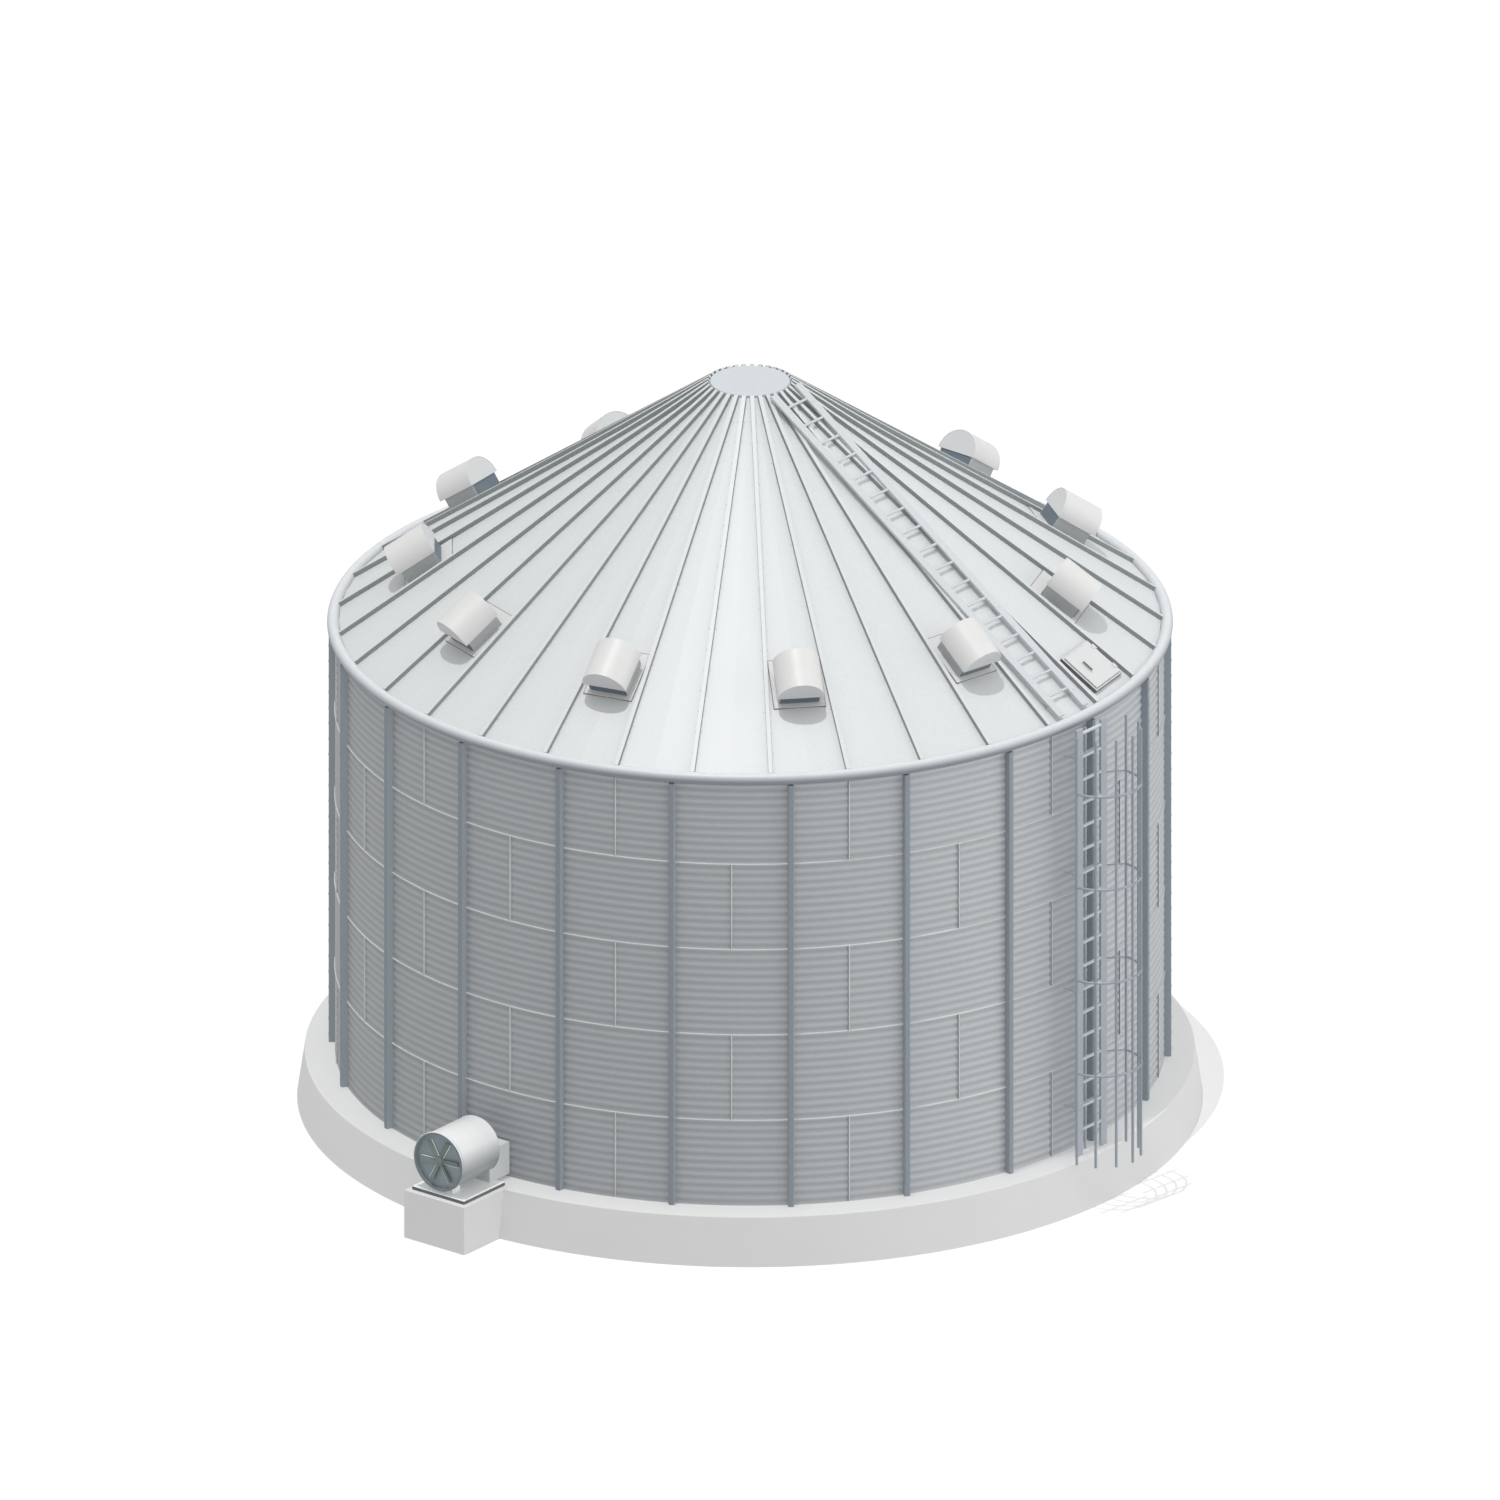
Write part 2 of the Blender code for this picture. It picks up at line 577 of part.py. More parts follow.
def make_hatch():
    """Raised frame over the hatch hole, and a lid hinged on the side away from the ladder."""
    frame = on_slope(HATCH_AZIMUTH)
    middle = down_slope(HATCH_RADIUS)

    def add_curb(bm):
        low = (middle - FRAME_LENGTH / 2, -FRAME_WIDTH / 2, -ROOF_THICKNESS)
        add_box(bm, low, (middle + FRAME_LENGTH / 2, FRAME_WIDTH / 2, FRAME_HEIGHT), frame)

    def add_ears(bm):
        reach = KNUCKLE_LENGTH / 2 + EAR_PLAY
        for knuckle in KNUCKLE_PLACES:
            for side in (-1, 1):
                ends = sorted((middle + knuckle + side * reach, middle + knuckle + side * (reach + EAR_THICKNESS)))
                low = (ends[0], HINGE_OFFSET - KNUCKLE_RADIUS, FRAME_HEIGHT - 0.004)
                add_box(bm, low, (ends[1], FRAME_WIDTH / 2 - 0.001, HINGE_HEIGHT + KNUCKLE_RADIUS), frame)

    def add_pins(bm):
        reach = KNUCKLE_LENGTH / 2 + EAR_PLAY + EAR_THICKNESS / 2
        for knuckle in KNUCKLE_PLACES:
            ends = [(middle + knuckle + side * reach, HINGE_OFFSET, HINGE_HEIGHT) for side in (-1, 1)]
            add_rod(bm, *ends, PIN_RADIUS, TUBE_SIDES, frame)

    sector = round((HATCH_AZIMUTH + PANEL_DEG - VENT_AZIMUTH) / SECTOR_DEG)
    bed = solid(add_roof_layer, -0.1, GAP, 0)
    bed.transform(Matrix.Rotation(math.radians(VENT_AZIMUTH + sector * SECTOR_DEG), 4, "Z"))
    curb = combined(
        solid(add_curb),
        ("DIFFERENCE", solid(add_hatch_bore, frame)),
        ("DIFFERENCE", bed),
        ("UNION", solid(add_ears)),
        ("UNION", solid(add_pins)),
    )
    place("hatch_frame", curb, "white steel")

    base = FRAME_HEIGHT + GAP
    top = base + LID_THICKNESS

    def add_plate(bm):
        low = (middle - LID_LENGTH / 2, -LID_WIDTH / 2, base)
        add_box(bm, low, (middle + LID_LENGTH / 2, LID_WIDTH / 2, top), frame)

    def add_straps(bm):
        for knuckle in KNUCKLE_PLACES:
            half = KNUCKLE_LENGTH / 2
            low = (middle + knuckle - half + 0.002, LID_WIDTH / 2 - 0.05, top - 0.004)
            add_box(bm, low, (middle + knuckle + half - 0.002, HINGE_OFFSET, HINGE_HEIGHT + KNUCKLE_RADIUS - 0.002), frame)

    def add_knuckles(bm, radius, reach):
        for knuckle in KNUCKLE_PLACES:
            ends = [(middle + knuckle + side * reach, HINGE_OFFSET, HINGE_HEIGHT) for side in (-1, 1)]
            add_rod(bm, *ends, radius, 2 * TUBE_SIDES, frame)

    def add_posts(bm):
        for s in (-0.084, 0.052):
            low = (middle + s - 0.006, -0.137, top - 0.004)
            add_box(bm, low, (middle + s + 0.006, -0.121, top + 0.022), frame)

    def add_grip(bm):
        add_box(bm, (middle - 0.091, -0.139, top + 0.018), (middle + 0.059, -0.119, top + 0.030), frame)

    lid = combined(
        solid(add_plate),
        ("UNION", solid(add_straps)),
        ("UNION", solid(add_knuckles, KNUCKLE_RADIUS, KNUCKLE_LENGTH / 2)),
        ("DIFFERENCE", solid(add_knuckles, BORE_RADIUS, KNUCKLE_LENGTH)),
        ("UNION", solid(add_posts)),
        ("UNION", solid(add_grip)),
    )
    place("hatch_lid", lid, "white steel", origin=frame @ Vector((middle, HINGE_OFFSET, HINGE_HEIGHT)))


# Ladders and cage


def roof_top(radius_out, across):
    """Height of sheet or rib over the plane of the ladder's panel, where the ladder frame has x out and y round."""
    azimuth = math.degrees(math.atan2(across, radius_out)) + LADDER_AZIMUTH
    distance = math.hypot(radius_out, across)
    facet = round((azimuth - RIB_AZIMUTH) / FACET_DEG - 0.5)
    to_middle = math.radians(azimuth - RIB_AZIMUTH - (facet + 0.5) * FACET_DEG)
    sheet = -math.tan(ROOF_SLOPE) * distance * math.cos(to_middle) / math.cos(math.radians(FACET_DEG / 2))
    rib = round((azimuth - RIB_AZIMUTH) / PANEL_DEG)
    to_rib = math.radians(azimuth - RIB_AZIMUTH - rib * PANEL_DEG)
    height = sheet
    if abs(distance * math.sin(to_rib)) <= RIB_WIDTH / 2:
        height = -math.tan(ROOF_SLOPE) * distance * math.cos(to_rib) + RIB_HEIGHT / math.cos(ROOF_SLOPE)
    return (height + math.tan(ROOF_SLOPE) * radius_out) * math.cos(ROOF_SLOPE)


def make_roof_ladder():
    """Two flat rails with round rungs, on feet that stand on the ribs and the sheet."""
    frame = on_slope(LADDER_AZIMUTH)
    base = RIB_HEIGHT + 2 * GAP
    start, end = down_slope(ROOF_RAIL_START), down_slope(ROOF_RAIL_END)

    def add_rails(bm):
        for side in (-1, 1):
            low = (start, side * RAIL_OFFSET - RAIL_WIDTH / 2, base)
            add_box(bm, low, (end, side * RAIL_OFFSET + RAIL_WIDTH / 2, base + RAIL_DEPTH), frame)

    def add_rungs(bm):
        reach = RAIL_OFFSET - RAIL_WIDTH / 2 + 0.012
        for rung in range(ROOF_RUNGS):
            s = down_slope(ROOF_LAST_RUNG) - rung * RUNG_PITCH
            ends = [(s, side * reach, base + RAIL_DEPTH / 2) for side in (-1, 1)]
            add_rod(bm, *ends, RUNG_RADIUS, RUNG_SIDES, frame)

    def add_feet(bm):
        for radius_out in ROOF_FEET:
            for side in (-1, 1):
                across = foot_place(radius_out)
                seat = GAP + max(
                    roof_top(radius_out + x * FOOT_SIZE[0] + shift, side * across + y * FOOT_SIZE[1])
                    for x in (-0.45, -0.2, 0, 0.2, 0.45)
                    for y in (-0.5, -0.25, 0, 0.25, 0.5)
                    for shift in (0, RIB_HEIGHT * math.sin(ROOF_SLOPE))
                )
                s = down_slope(radius_out)
                low = (s - FOOT_SIZE[0] / 2, side * across - FOOT_SIZE[1] / 2, seat)
                add_box(bm, low, (s + FOOT_SIZE[0] / 2, side * across + FOOT_SIZE[1] / 2, base + 0.003), frame)

    place("roof_ladder", combined(solid(add_rails), ("UNION", solid(add_rungs)), ("UNION", solid(add_feet))), "galvanised tube")


def foot_place(radius_out):
    """Distance of a foot from the ladder's middle: over a rib where one passes under the rail."""
    for rib in (0.5, 1.5):
        across = radius_out * math.tan(math.radians(rib * PANEL_DEG))
        if abs(across - RAIL_OFFSET) < RAIL_WIDTH / 2:
            return across
    return RAIL_OFFSET


def make_wall_ladder():
    """Two flat rails and their rungs, with standoffs to the wall and a guide bar behind the rungs."""
    frame = at_azimuth(LADDER_AZIMUTH)
    bottom, top = FOUNDATION_HEIGHT + GAP, WALL_TOP
    back, front = WALL_RAIL_RADIUS - RAIL_DEPTH / 2, WALL_RAIL_RADIUS + RAIL_DEPTH / 2
    standoffs = [WALL_FIRST_RUNG_Z + rung * RUNG_PITCH - STANDOFF_DROP for rung in STANDOFF_RUNGS]
    bar_depth, bar_width = GUIDE_BAR_SIZE

    def add_rails(bm):
        for side in (-1, 1):
            low = (back, side * RAIL_OFFSET - RAIL_WIDTH / 2, bottom)
            add_box(bm, low, (front, side * RAIL_OFFSET + RAIL_WIDTH / 2, top), frame)
        add_box(bm, (GUIDE_BAR_RADIUS - bar_depth / 2, -bar_width / 2, bottom), (GUIDE_BAR_RADIUS + bar_depth / 2, bar_width / 2, EAVE_Z - EAVE_TUBE_RADIUS - 0.005), frame)

    def add_rungs(bm):
        reach = RAIL_OFFSET - RAIL_WIDTH / 2 + 0.012
        for rung in range(WALL_RUNGS):
            z = WALL_FIRST_RUNG_Z + rung * RUNG_PITCH
            ends = [(WALL_RAIL_RADIUS, side * reach, z) for side in (-1, 1)]
            add_rod(bm, *ends, RUNG_RADIUS, RUNG_SIDES, frame)

    def add_crossbars(bm):
        for z in standoffs:
            low = (GUIDE_BAR_RADIUS - STANDOFF_SIZE[0] / 2, -RAIL_OFFSET - 0.01, z - STANDOFF_SIZE[1] / 2)
            add_box(bm, low, (GUIDE_BAR_RADIUS + STANDOFF_SIZE[0] / 2, RAIL_OFFSET + 0.01, z + STANDOFF_SIZE[1] / 2), frame)

    def add_legs(bm):
        for z in standoffs:
            for side in (-1, 1):
                low = (wall_face(side * RAIL_OFFSET) + GAP, side * RAIL_OFFSET - STANDOFF_SIZE[0] / 2, z - STANDOFF_SIZE[1] / 2 + 0.002)
                add_box(bm, low, (back + 0.004, side * RAIL_OFFSET + STANDOFF_SIZE[0] / 2, z + STANDOFF_SIZE[1] / 2 - 0.002), frame)

    mesh = combined(
        solid(add_rails), ("UNION", solid(add_rungs)), ("UNION", solid(add_crossbars)), ("UNION", solid(add_legs))
    )
    place("wall_ladder", mesh, "galvanised tube")


def wall_face(across):
    """How far out the wall, or a stiffener, stands behind the ladder at this distance from its middle."""
    azimuth = LADDER_AZIMUTH + math.degrees(math.atan2(across, WALL_RADIUS))
    stiffener = RIB_AZIMUTH + FACET_DEG / 2
    offset = math.radians((azimuth - stiffener + STIFFENER_STEP / 2) % STIFFENER_STEP - STIFFENER_STEP / 2)
    if abs(math.sin(offset)) * WALL_RADIUS < STIFFENER_WIDTH / 2 + STANDOFF_SIZE[0]:
        turn = math.radians(azimuth) - offset - math.radians(LADDER_AZIMUTH)
        return (STIFFENER_OUTER_RADIUS - (abs(across) - STANDOFF_SIZE[0]) * math.sin(turn)) / math.cos(turn)
    facet = math.floor((azimuth - RIB_AZIMUTH) / FACET_DEG) + 0.5
    turn = math.radians(RIB_AZIMUTH + facet * FACET_DEG - LADDER_AZIMUTH)
    flat = WALL_RADIUS * math.cos(math.radians(FACET_DEG / 2))
    return (flat - across * math.sin(turn)) / math.cos(turn) + 0.0005


def make_cage():
    """Half-round hoops tied by upright bars; an arm at each hoop's end bears on the ladder's rail."""
    frame = at_azimuth(LADDER_AZIMUTH)
    heights = [HOOP_FIRST_Z + hoop * HOOP_PITCH for hoop in range(HOOPS)]

    def add_bars(bm):
        for bar in range(CAGE_BARS):
            angle = math.radians(-90 + 180 * bar / (CAGE_BARS - 1))
            x, y = CAGE_CENTRE + CAGE_RADIUS * math.cos(angle), CAGE_RADIUS * math.sin(angle)
            low, high = (x, y, FOUNDATION_HEIGHT + GAP), (x, y, WALL_TOP)
            add_rod(bm, low, high, CAGE_BAR_RADIUS, TUBE_SIDES, frame, math.radians(11))

    def add_hoops(bm):
        for z in heights:
            add_arc_tube(bm, CAGE_RADIUS, CAGE_CENTRE, z, HOOP_RADIUS, TUBE_SIDES, -91, 91, HOOP_STEPS, frame)

    def add_arms(bm):
        inner = RAIL_OFFSET + RAIL_WIDTH / 2 + GAP
        for z in heights:
            for side in (-1, 1):
                outline = [
                    (WALL_RAIL_RADIUS - 0.010, side * inner),
                    (WALL_RAIL_RADIUS + 0.010, side * inner),
                    (CAGE_CENTRE + 0.004, side * (CAGE_RADIUS - 0.006)),
                    (CAGE_CENTRE - 0.012, side * (CAGE_RADIUS + 0.004)),
                ]
                face = bm.faces.new([bm.verts.new(frame @ Vector((x, y, z - 0.007))) for x, y in outline])
                pushed = bmesh.ops.extrude_face_region(bm, geom=[face])["geom"]
                moved = [item for item in pushed if isinstance(item, bmesh.types.BMVert)]
                bmesh.ops.translate(bm, verts=moved, vec=(0, 0, 0.014))

    mesh = combined(solid(add_bars), ("UNION", solid(add_hoops)), ("UNION", solid(add_arms)))
    place("ladder_cage", mesh, "galvanised tube")


# Aeration fan


def fan_frame():
    """Frame on the fan's axis at the bin's middle, with z outwards along the axis."""
    return at_azimuth(FAN_AZIMUTH) @ Matrix.Translation((0, 0, FAN_AXIS_Z)) @ Matrix.Rotation(math.pi / 2, 4, "Y")


def add_housing_bed(bm):
    """The housing's barrel, a fit wider, for what is shaped to it."""
    add_rod(bm, (0, 0, HOUSING_BACK - GAP), (0, 0, HOUSING_FRONT), HOUSING_RADIUS + GAP, FAN_SIDES, fan_frame())


def make_fan_stand():
    frame = at_azimuth(FAN_AZIMUTH)
    pad = solid(add_box, (5.2, -PAD_WIDTH / 2, 0), (PAD_OUTER, PAD_WIDTH / 2, FOUNDATION_HEIGHT), frame)
    bank = solid(add_foundation, -0.1, FOUNDATION_HEIGHT + 0.1, GAP)
    place("fan_pad", combined(pad, ("DIFFERENCE", bank)), "concrete", smooth=False)

    low = (BASE_PLATE_INNER, -BASE_PLATE_WIDTH / 2, FOUNDATION_HEIGHT + GAP)
    plate_top = FOUNDATION_HEIGHT + BASE_PLATE_THICKNESS
    plate = solid(add_box, low, (BASE_PLATE_OUTER, BASE_PLATE_WIDTH / 2, plate_top), frame)
    place("fan_base_plate", plate, "white steel", smooth=False)

    low = (SADDLE_PLACE[0], -SADDLE_WIDTH / 2, plate_top + GAP)
    saddle = solid(add_box, low, (SADDLE_PLACE[1], SADDLE_WIDTH / 2, SADDLE_TOP), frame)
    place("fan_saddle", combined(saddle, ("DIFFERENCE", solid(add_housing_bed))), "dark steel", smooth=False)

    low = (TRANSITION_INNER, -TRANSITION_WIDTH / 2, plate_top + GAP)
    duct = solid(add_box, low, (TRANSITION_OUTER, TRANSITION_WIDTH / 2, TRANSITION_TOP), frame)
    place("fan_transition", combined(duct, ("DIFFERENCE", solid(add_housing_bed))), "white steel", smooth=False)


def make_fan():
    frame = fan_frame()
    bore = HOUSING_RADIUS - HOUSING_SKIN
    barrel = [
        (0, HOUSING_BACK + HOUSING_SKIN),
        (bore, HOUSING_BACK + HOUSING_SKIN),
        (bore, HOUSING_FRONT),
        (RIM_RADIUS, HOUSING_FRONT),
        (RIM_RADIUS, HOUSING_FRONT - RIM_LENGTH),
        (HOUSING_RADIUS, HOUSING_FRONT - RIM_LENGTH),
        (HOUSING_RADIUS, HOUSING_BACK),
        (0, HOUSING_BACK),
    ]
    place("fan_housing", turned(barrel, FAN_SIDES, frame), "white steel")

    plate_back = BACKPLATE_FRONT - BACKPLATE_THICKNESS
    boss_radius, boss_length = MOTOR_BOSS
    disc = [
        (SHAFT_BORE_RADIUS, BACKPLATE_FRONT),
        (bore - GAP, BACKPLATE_FRONT),
        (bore - GAP, plate_back),
        (boss_radius, plate_back),
        (boss_radius, plate_back - boss_length),
        (SHAFT_BORE_RADIUS, plate_back - boss_length),
        (SHAFT_BORE_RADIUS, BACKPLATE_FRONT),
    ]
    place("fan_backplate", turned(disc, FAN_SIDES, frame), "dark steel")

    hub_back, hub_front = ROTOR_MIDDLE - HUB_LENGTH / 2, ROTOR_MIDDLE + HUB_LENGTH / 2
    hub = [
        (0, hub_front),
        (HUB_RADIUS, hub_front),
        (HUB_RADIUS, hub_back),
        (SHAFT_RADIUS, hub_back),
        (SHAFT_RADIUS, plate_back),
        (0, plate_back),
    ]

    def add_blades(bm):
        for blade in range(BLADES):
            turn = math.radians(BLADE_PHASE + blade * 360 / BLADES)
            spoke = frame @ Matrix.Translation((0, 0, ROTOR_MIDDLE)) @ Matrix.Rotation(turn + math.pi / 2, 4, "Z")
            tilted = spoke @ Matrix.Rotation(math.radians(BLADE_PITCH), 4, "X")
            low = (HUB_RADIUS - 0.012, -BLADE_CHORD / 2, -BLADE_THICKNESS / 2)
            add_box(bm, low, (BLADE_TIP, BLADE_CHORD / 2, BLADE_THICKNESS / 2), tilted)

    rotor = combined(turned(hub, FAN_SIDES // 2, frame), ("UNION", solid(add_blades)))
    place("fan_rotor", rotor, "dark steel", origin=frame @ Vector((0, 0, ROTOR_MIDDLE)))


start_scene()
make_foundation()
make_wall()
make_eave_ring()
make_roof()
make_cap()
make_vents()
make_hatch()
make_roof_ladder()
make_wall_ladder()
make_cage()
make_fan_stand()
make_fan()
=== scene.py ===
# Round farm grain bin: sheets, bolts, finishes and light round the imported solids.
# Azimuths are in degrees from the front (-Y) towards +X. Lengths are in metres.

import bpy
import numpy as np
from mathutils import Matrix


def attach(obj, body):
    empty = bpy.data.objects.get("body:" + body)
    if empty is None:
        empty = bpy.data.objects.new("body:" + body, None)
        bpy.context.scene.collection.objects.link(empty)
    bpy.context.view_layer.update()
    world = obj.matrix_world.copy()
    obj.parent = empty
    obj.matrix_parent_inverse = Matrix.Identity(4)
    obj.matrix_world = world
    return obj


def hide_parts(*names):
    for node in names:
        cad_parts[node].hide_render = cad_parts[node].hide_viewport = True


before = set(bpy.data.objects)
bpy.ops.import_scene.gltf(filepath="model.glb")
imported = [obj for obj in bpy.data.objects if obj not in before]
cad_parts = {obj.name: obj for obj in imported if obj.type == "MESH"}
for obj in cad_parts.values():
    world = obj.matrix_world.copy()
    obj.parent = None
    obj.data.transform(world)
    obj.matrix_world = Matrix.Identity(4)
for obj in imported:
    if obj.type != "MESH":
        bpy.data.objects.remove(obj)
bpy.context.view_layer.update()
print("frame loaded:", len(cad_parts), "nodes")

shared = {
    "ribAzimuth": 2.87,  # first roof rib, and the first point of the bin's 66 facets
    "ribs": 33,
    "sheets": 11,
    "rings": 5,
    "ringHeight": 1.1176,
    "corrugation": 0.1016,
    "wallBottom": 0.6203,
    "apex": 9.663,
    "slope": 34.6,
    "roundSteps": 264,
}
panelAngle = 360 / shared["ribs"]
sheetAngle = 360 / shared["sheets"]
roundAzimuths = shared["ribAzimuth"] + 360 * np.arange(shared["roundSteps"]) / shared["roundSteps"]
ventAzimuths = shared["ribAzimuth"] + panelAngle / 2 + sheetAngle * np.arange(shared["sheets"])
wallNodes = [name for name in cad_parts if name.startswith("wall_segment")]
ventNodes = [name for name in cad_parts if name.startswith("roof_vent")]
upward = (0.0, 0.0, 1.0)


# Places

# Unit vector from the bin's axis: (sin a, -cos a, 0)
def outwardAt(azimuth):
    a = np.radians(azimuth)
    return np.stack([np.sin(a), -np.cos(a), np.zeros_like(a)], -1)


# Unit vector round the bin, a quarter turn on from the outward one: (cos a, sin a, 0)
def aroundAt(azimuth):
    a = np.radians(azimuth)
    return np.stack([np.cos(a), np.sin(a), np.zeros_like(a)], -1)


# Cylinder to space: x = r sin(a), y = -r cos(a), z = z
def polar(azimuth, radius, z):
    azimuth, radius, z = np.broadcast_arrays(azimuth, radius, z)
    a = np.radians(azimuth)
    return np.stack([radius * np.sin(a), -radius * np.cos(a), z], -1)


# Local points (outwards or down the slope, round the bin, square to the surface) at an azimuth
def placed(points, azimuth, slope=0.0, height=0.0):
    s = np.radians(slope)
    out, up = outwardAt(np.float64(azimuth)), np.array(upward)
    down, square = out * np.cos(s) - up * np.sin(s), out * np.sin(s) + up * np.cos(s)
    axes = np.array([down, aroundAt(np.float64(azimuth)), square])
    return np.asarray(points, float) @ axes + up * height


# Points down the slope from the apex, round the bin and square to the roof
def onRoof(points, azimuth):
    return placed(points, azimuth, shared["slope"], shared["apex"])


# The same points at each azimuth, as further copies
def around(points, azimuths, placing):
    return np.concatenate([placing(points, azimuth) for azimuth in azimuths])


# Every pairing of the x, y and z values, as points
def lattice(x, y, z):
    return np.stack(np.meshgrid(x, y, z, indexing="ij"), -1).reshape(-1, 3)


# Even steps of a full turn, in radians
def fullTurn(steps):
    return 2 * np.pi * np.arange(steps) / steps


# Shapes: every one is an array points[copy, along, across, xyz] made into faces by skin()

# Faces over the grid of points: across closes round, along closes where asked, else it gets flat ends
def skin(points, closed=False):
    points = np.asarray(points, float)
    points = points[None] if points.ndim == 3 else points
    copies, along, across, _ = points.shape
    index = np.arange(copies * along * across).reshape(copies, along, across)
    rows = np.concatenate([index, index[:, :1]], 1) if closed else index
    rows = np.concatenate([rows, rows[:, :, :1]], 2)
    sides = np.stack([rows[:, :-1, :-1], rows[:, 1:, :-1], rows[:, 1:, 1:], rows[:, :-1, 1:]], -1)
    faces = [sides.reshape(-1, 4)]
    if not closed:
        faces += [index[:, 0], index[:, -1, ::-1]]
    flat = points.reshape(-1, 3)
    corner = flat - flat.mean(0)
    volume = sum(
        np.einsum("ij,ij->", corner[f[:, 0]], np.cross(corner[f[:, k]], corner[f[:, k + 1]]))
        for f in faces
        for k in range(1, f.shape[1] - 1)
    )
    return flat, [f[:, ::-1] for f in faces] if volume < 0 else faces


# Closed profile (radius, z) carried round the bin's axis through the azimuths
def turned(profile, azimuths):
    profile = np.asarray(profile, float)
    rings = polar(np.asarray(azimuths)[:, None], profile[None, :, 0], profile[None, :, 1])
    return skin(rings[None], closed=True)


# Outline (second and third coordinate) carried straight through the stations of the first one
def extruded(outline, stations):
    points = np.empty((1, len(stations), outline.shape[-2], 3))
    points[..., 0] = np.asarray(stations)[None, :, None]
    points[..., 1:] = outline
    return points


# Box with its edges cut at 45 degrees: two full sections and a smaller one at each end
def boxPoints(low, high, edge=0.002):
    low, high = np.atleast_2d(np.asarray(low, float)), np.atleast_2d(np.asarray(high, float))
    cut = np.minimum(edge, 0.3 * (high - low).min(1))[:, None]
    x = np.stack([low[:, :1], low[:, :1] + cut, high[:, :1] - cut, high[:, :1]], 1)
    inset = cut[:, :, None] * np.array([1.0, 0.0, 0.0, 1.0])[None, :, None]
    corner = cut[:, :, None] * np.array([0.4, 1.0, 1.0, 0.4])[None, :, None]
    y0, y1 = low[:, None, 1:2] + inset, high[:, None, 1:2] - inset
    z0, z1 = low[:, None, 2:3] + inset, high[:, None, 2:3] - inset
    ys = np.concatenate([y1, y1, y1 - corner, y0 + corner, y0, y0, y0 + corner, y1 - corner], 2)
    zs = np.concatenate([z0 + corner, z1 - corner, z1, z1, z1 - corner, z0 + corner, z0, z0], 2)
    return np.stack([np.broadcast_to(x, ys.shape), ys, zs], -1)


# Unit circles square to the axes: first cos(t) + second sin(t)
def circleAbout(axes, sides):
    helper = np.where(np.abs(axes[:, 2:3]) > 0.9, [[1.0, 0.0, 0.0]], [[0.0, 0.0, 1.0]])
    first = np.cross(axes, helper)
    first /= np.linalg.norm(first, axis=1, keepdims=True)
    second = np.cross(axes, first)
    turn = fullTurn(sides)[None, :, None]
    return first[:, None] * np.cos(turn) + second[:, None] * np.sin(turn)


# Round section about the straight line from start to end, with a small bevel at each end
def rodPoints(start, end, radius, bevel=0.15):
    start, end = np.atleast_2d(np.asarray(start, float)), np.atleast_2d(np.asarray(end, float))
    axis = (end - start) / np.linalg.norm(end - start, axis=1, keepdims=True)
    cut = bevel * radius
    stations = np.stack([start, start + axis * cut, end - axis * cut, end], 1)
    sizes = radius - cut * np.array([1.0, 0.0, 0.0, 1.0])
    return stations[:, :, None] + circleAbout(axis, 20)[:, None] * sizes[None, :, None, None]


# Bolt heads: a hexagon that narrows to a crown, standing on each place along its normal
def boltPoints(places, normals, radius, height):
    places = np.asarray(places, float).reshape(-1, 3)
    normals = np.broadcast_to(np.asarray(normals, float).reshape(-1, 3), places.shape)
    normals = normals / np.linalg.norm(normals, axis=1, keepdims=True)
    lift = np.array([-0.002, 0.0, 0.7 * height, height])[None, :, None, None]
    size = radius * np.array([1.25, 1.0, 1.0, 0.7])[None, :, None, None]
    return places[:, None, None] + normals[:, None, None] * lift + circleAbout(normals, 6)[:, None] * size


# Join skins into one object. An entry is a skin, (skin, number of its finish) or (skin, one number per face
# across), and the finishes are named by their keys.
def makePiece(name, skins, finishes, body="bin", replaces=(), sharp=32):
    points, starts, totals, corners, numbers = [], [], [], [], []
    base = loops = 0
    for entry in skins:
        (flat, faces), number = entry if isinstance(entry[1], (int, tuple)) else (entry, 0)
        for f in faces:
            starts.append(loops + f.shape[1] * np.arange(len(f)))
            totals.append(np.full(len(f), f.shape[1]))
            corners.append((f + base).reshape(-1))
            numbers.append(np.resize(number, len(f)))
            loops += f.size
        points.append(flat)
        base += len(flat)
    mesh = bpy.data.meshes.new(name)
    mesh.vertices.add(base)
    mesh.vertices.foreach_set("co", np.concatenate(points).astype(np.float32).reshape(-1))
    mesh.loops.add(loops)
    mesh.loops.foreach_set("vertex_index", np.concatenate(corners).astype(np.int32))
    mesh.polygons.add(sum(len(t) for t in totals))
    mesh.polygons.foreach_set("loop_start", np.concatenate(starts).astype(np.int32))
    mesh.polygons.foreach_set("loop_total", np.concatenate(totals).astype(np.int32))
    for key in finishes:
        mesh.materials.append(finish[key])
    mesh.polygons.foreach_set("material_index", np.concatenate(numbers).astype(np.int32))
    mesh.update(calc_edges=True)
    mesh.validate()
    mesh.shade_smooth()
    mesh.set_sharp_from_angle(angle=np.radians(sharp))
    thing = bpy.data.objects.new(name, mesh)
    bpy.context.scene.collection.objects.link(thing)
    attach(thing, body)
    if replaces:
        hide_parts(*replaces)


# Finishes

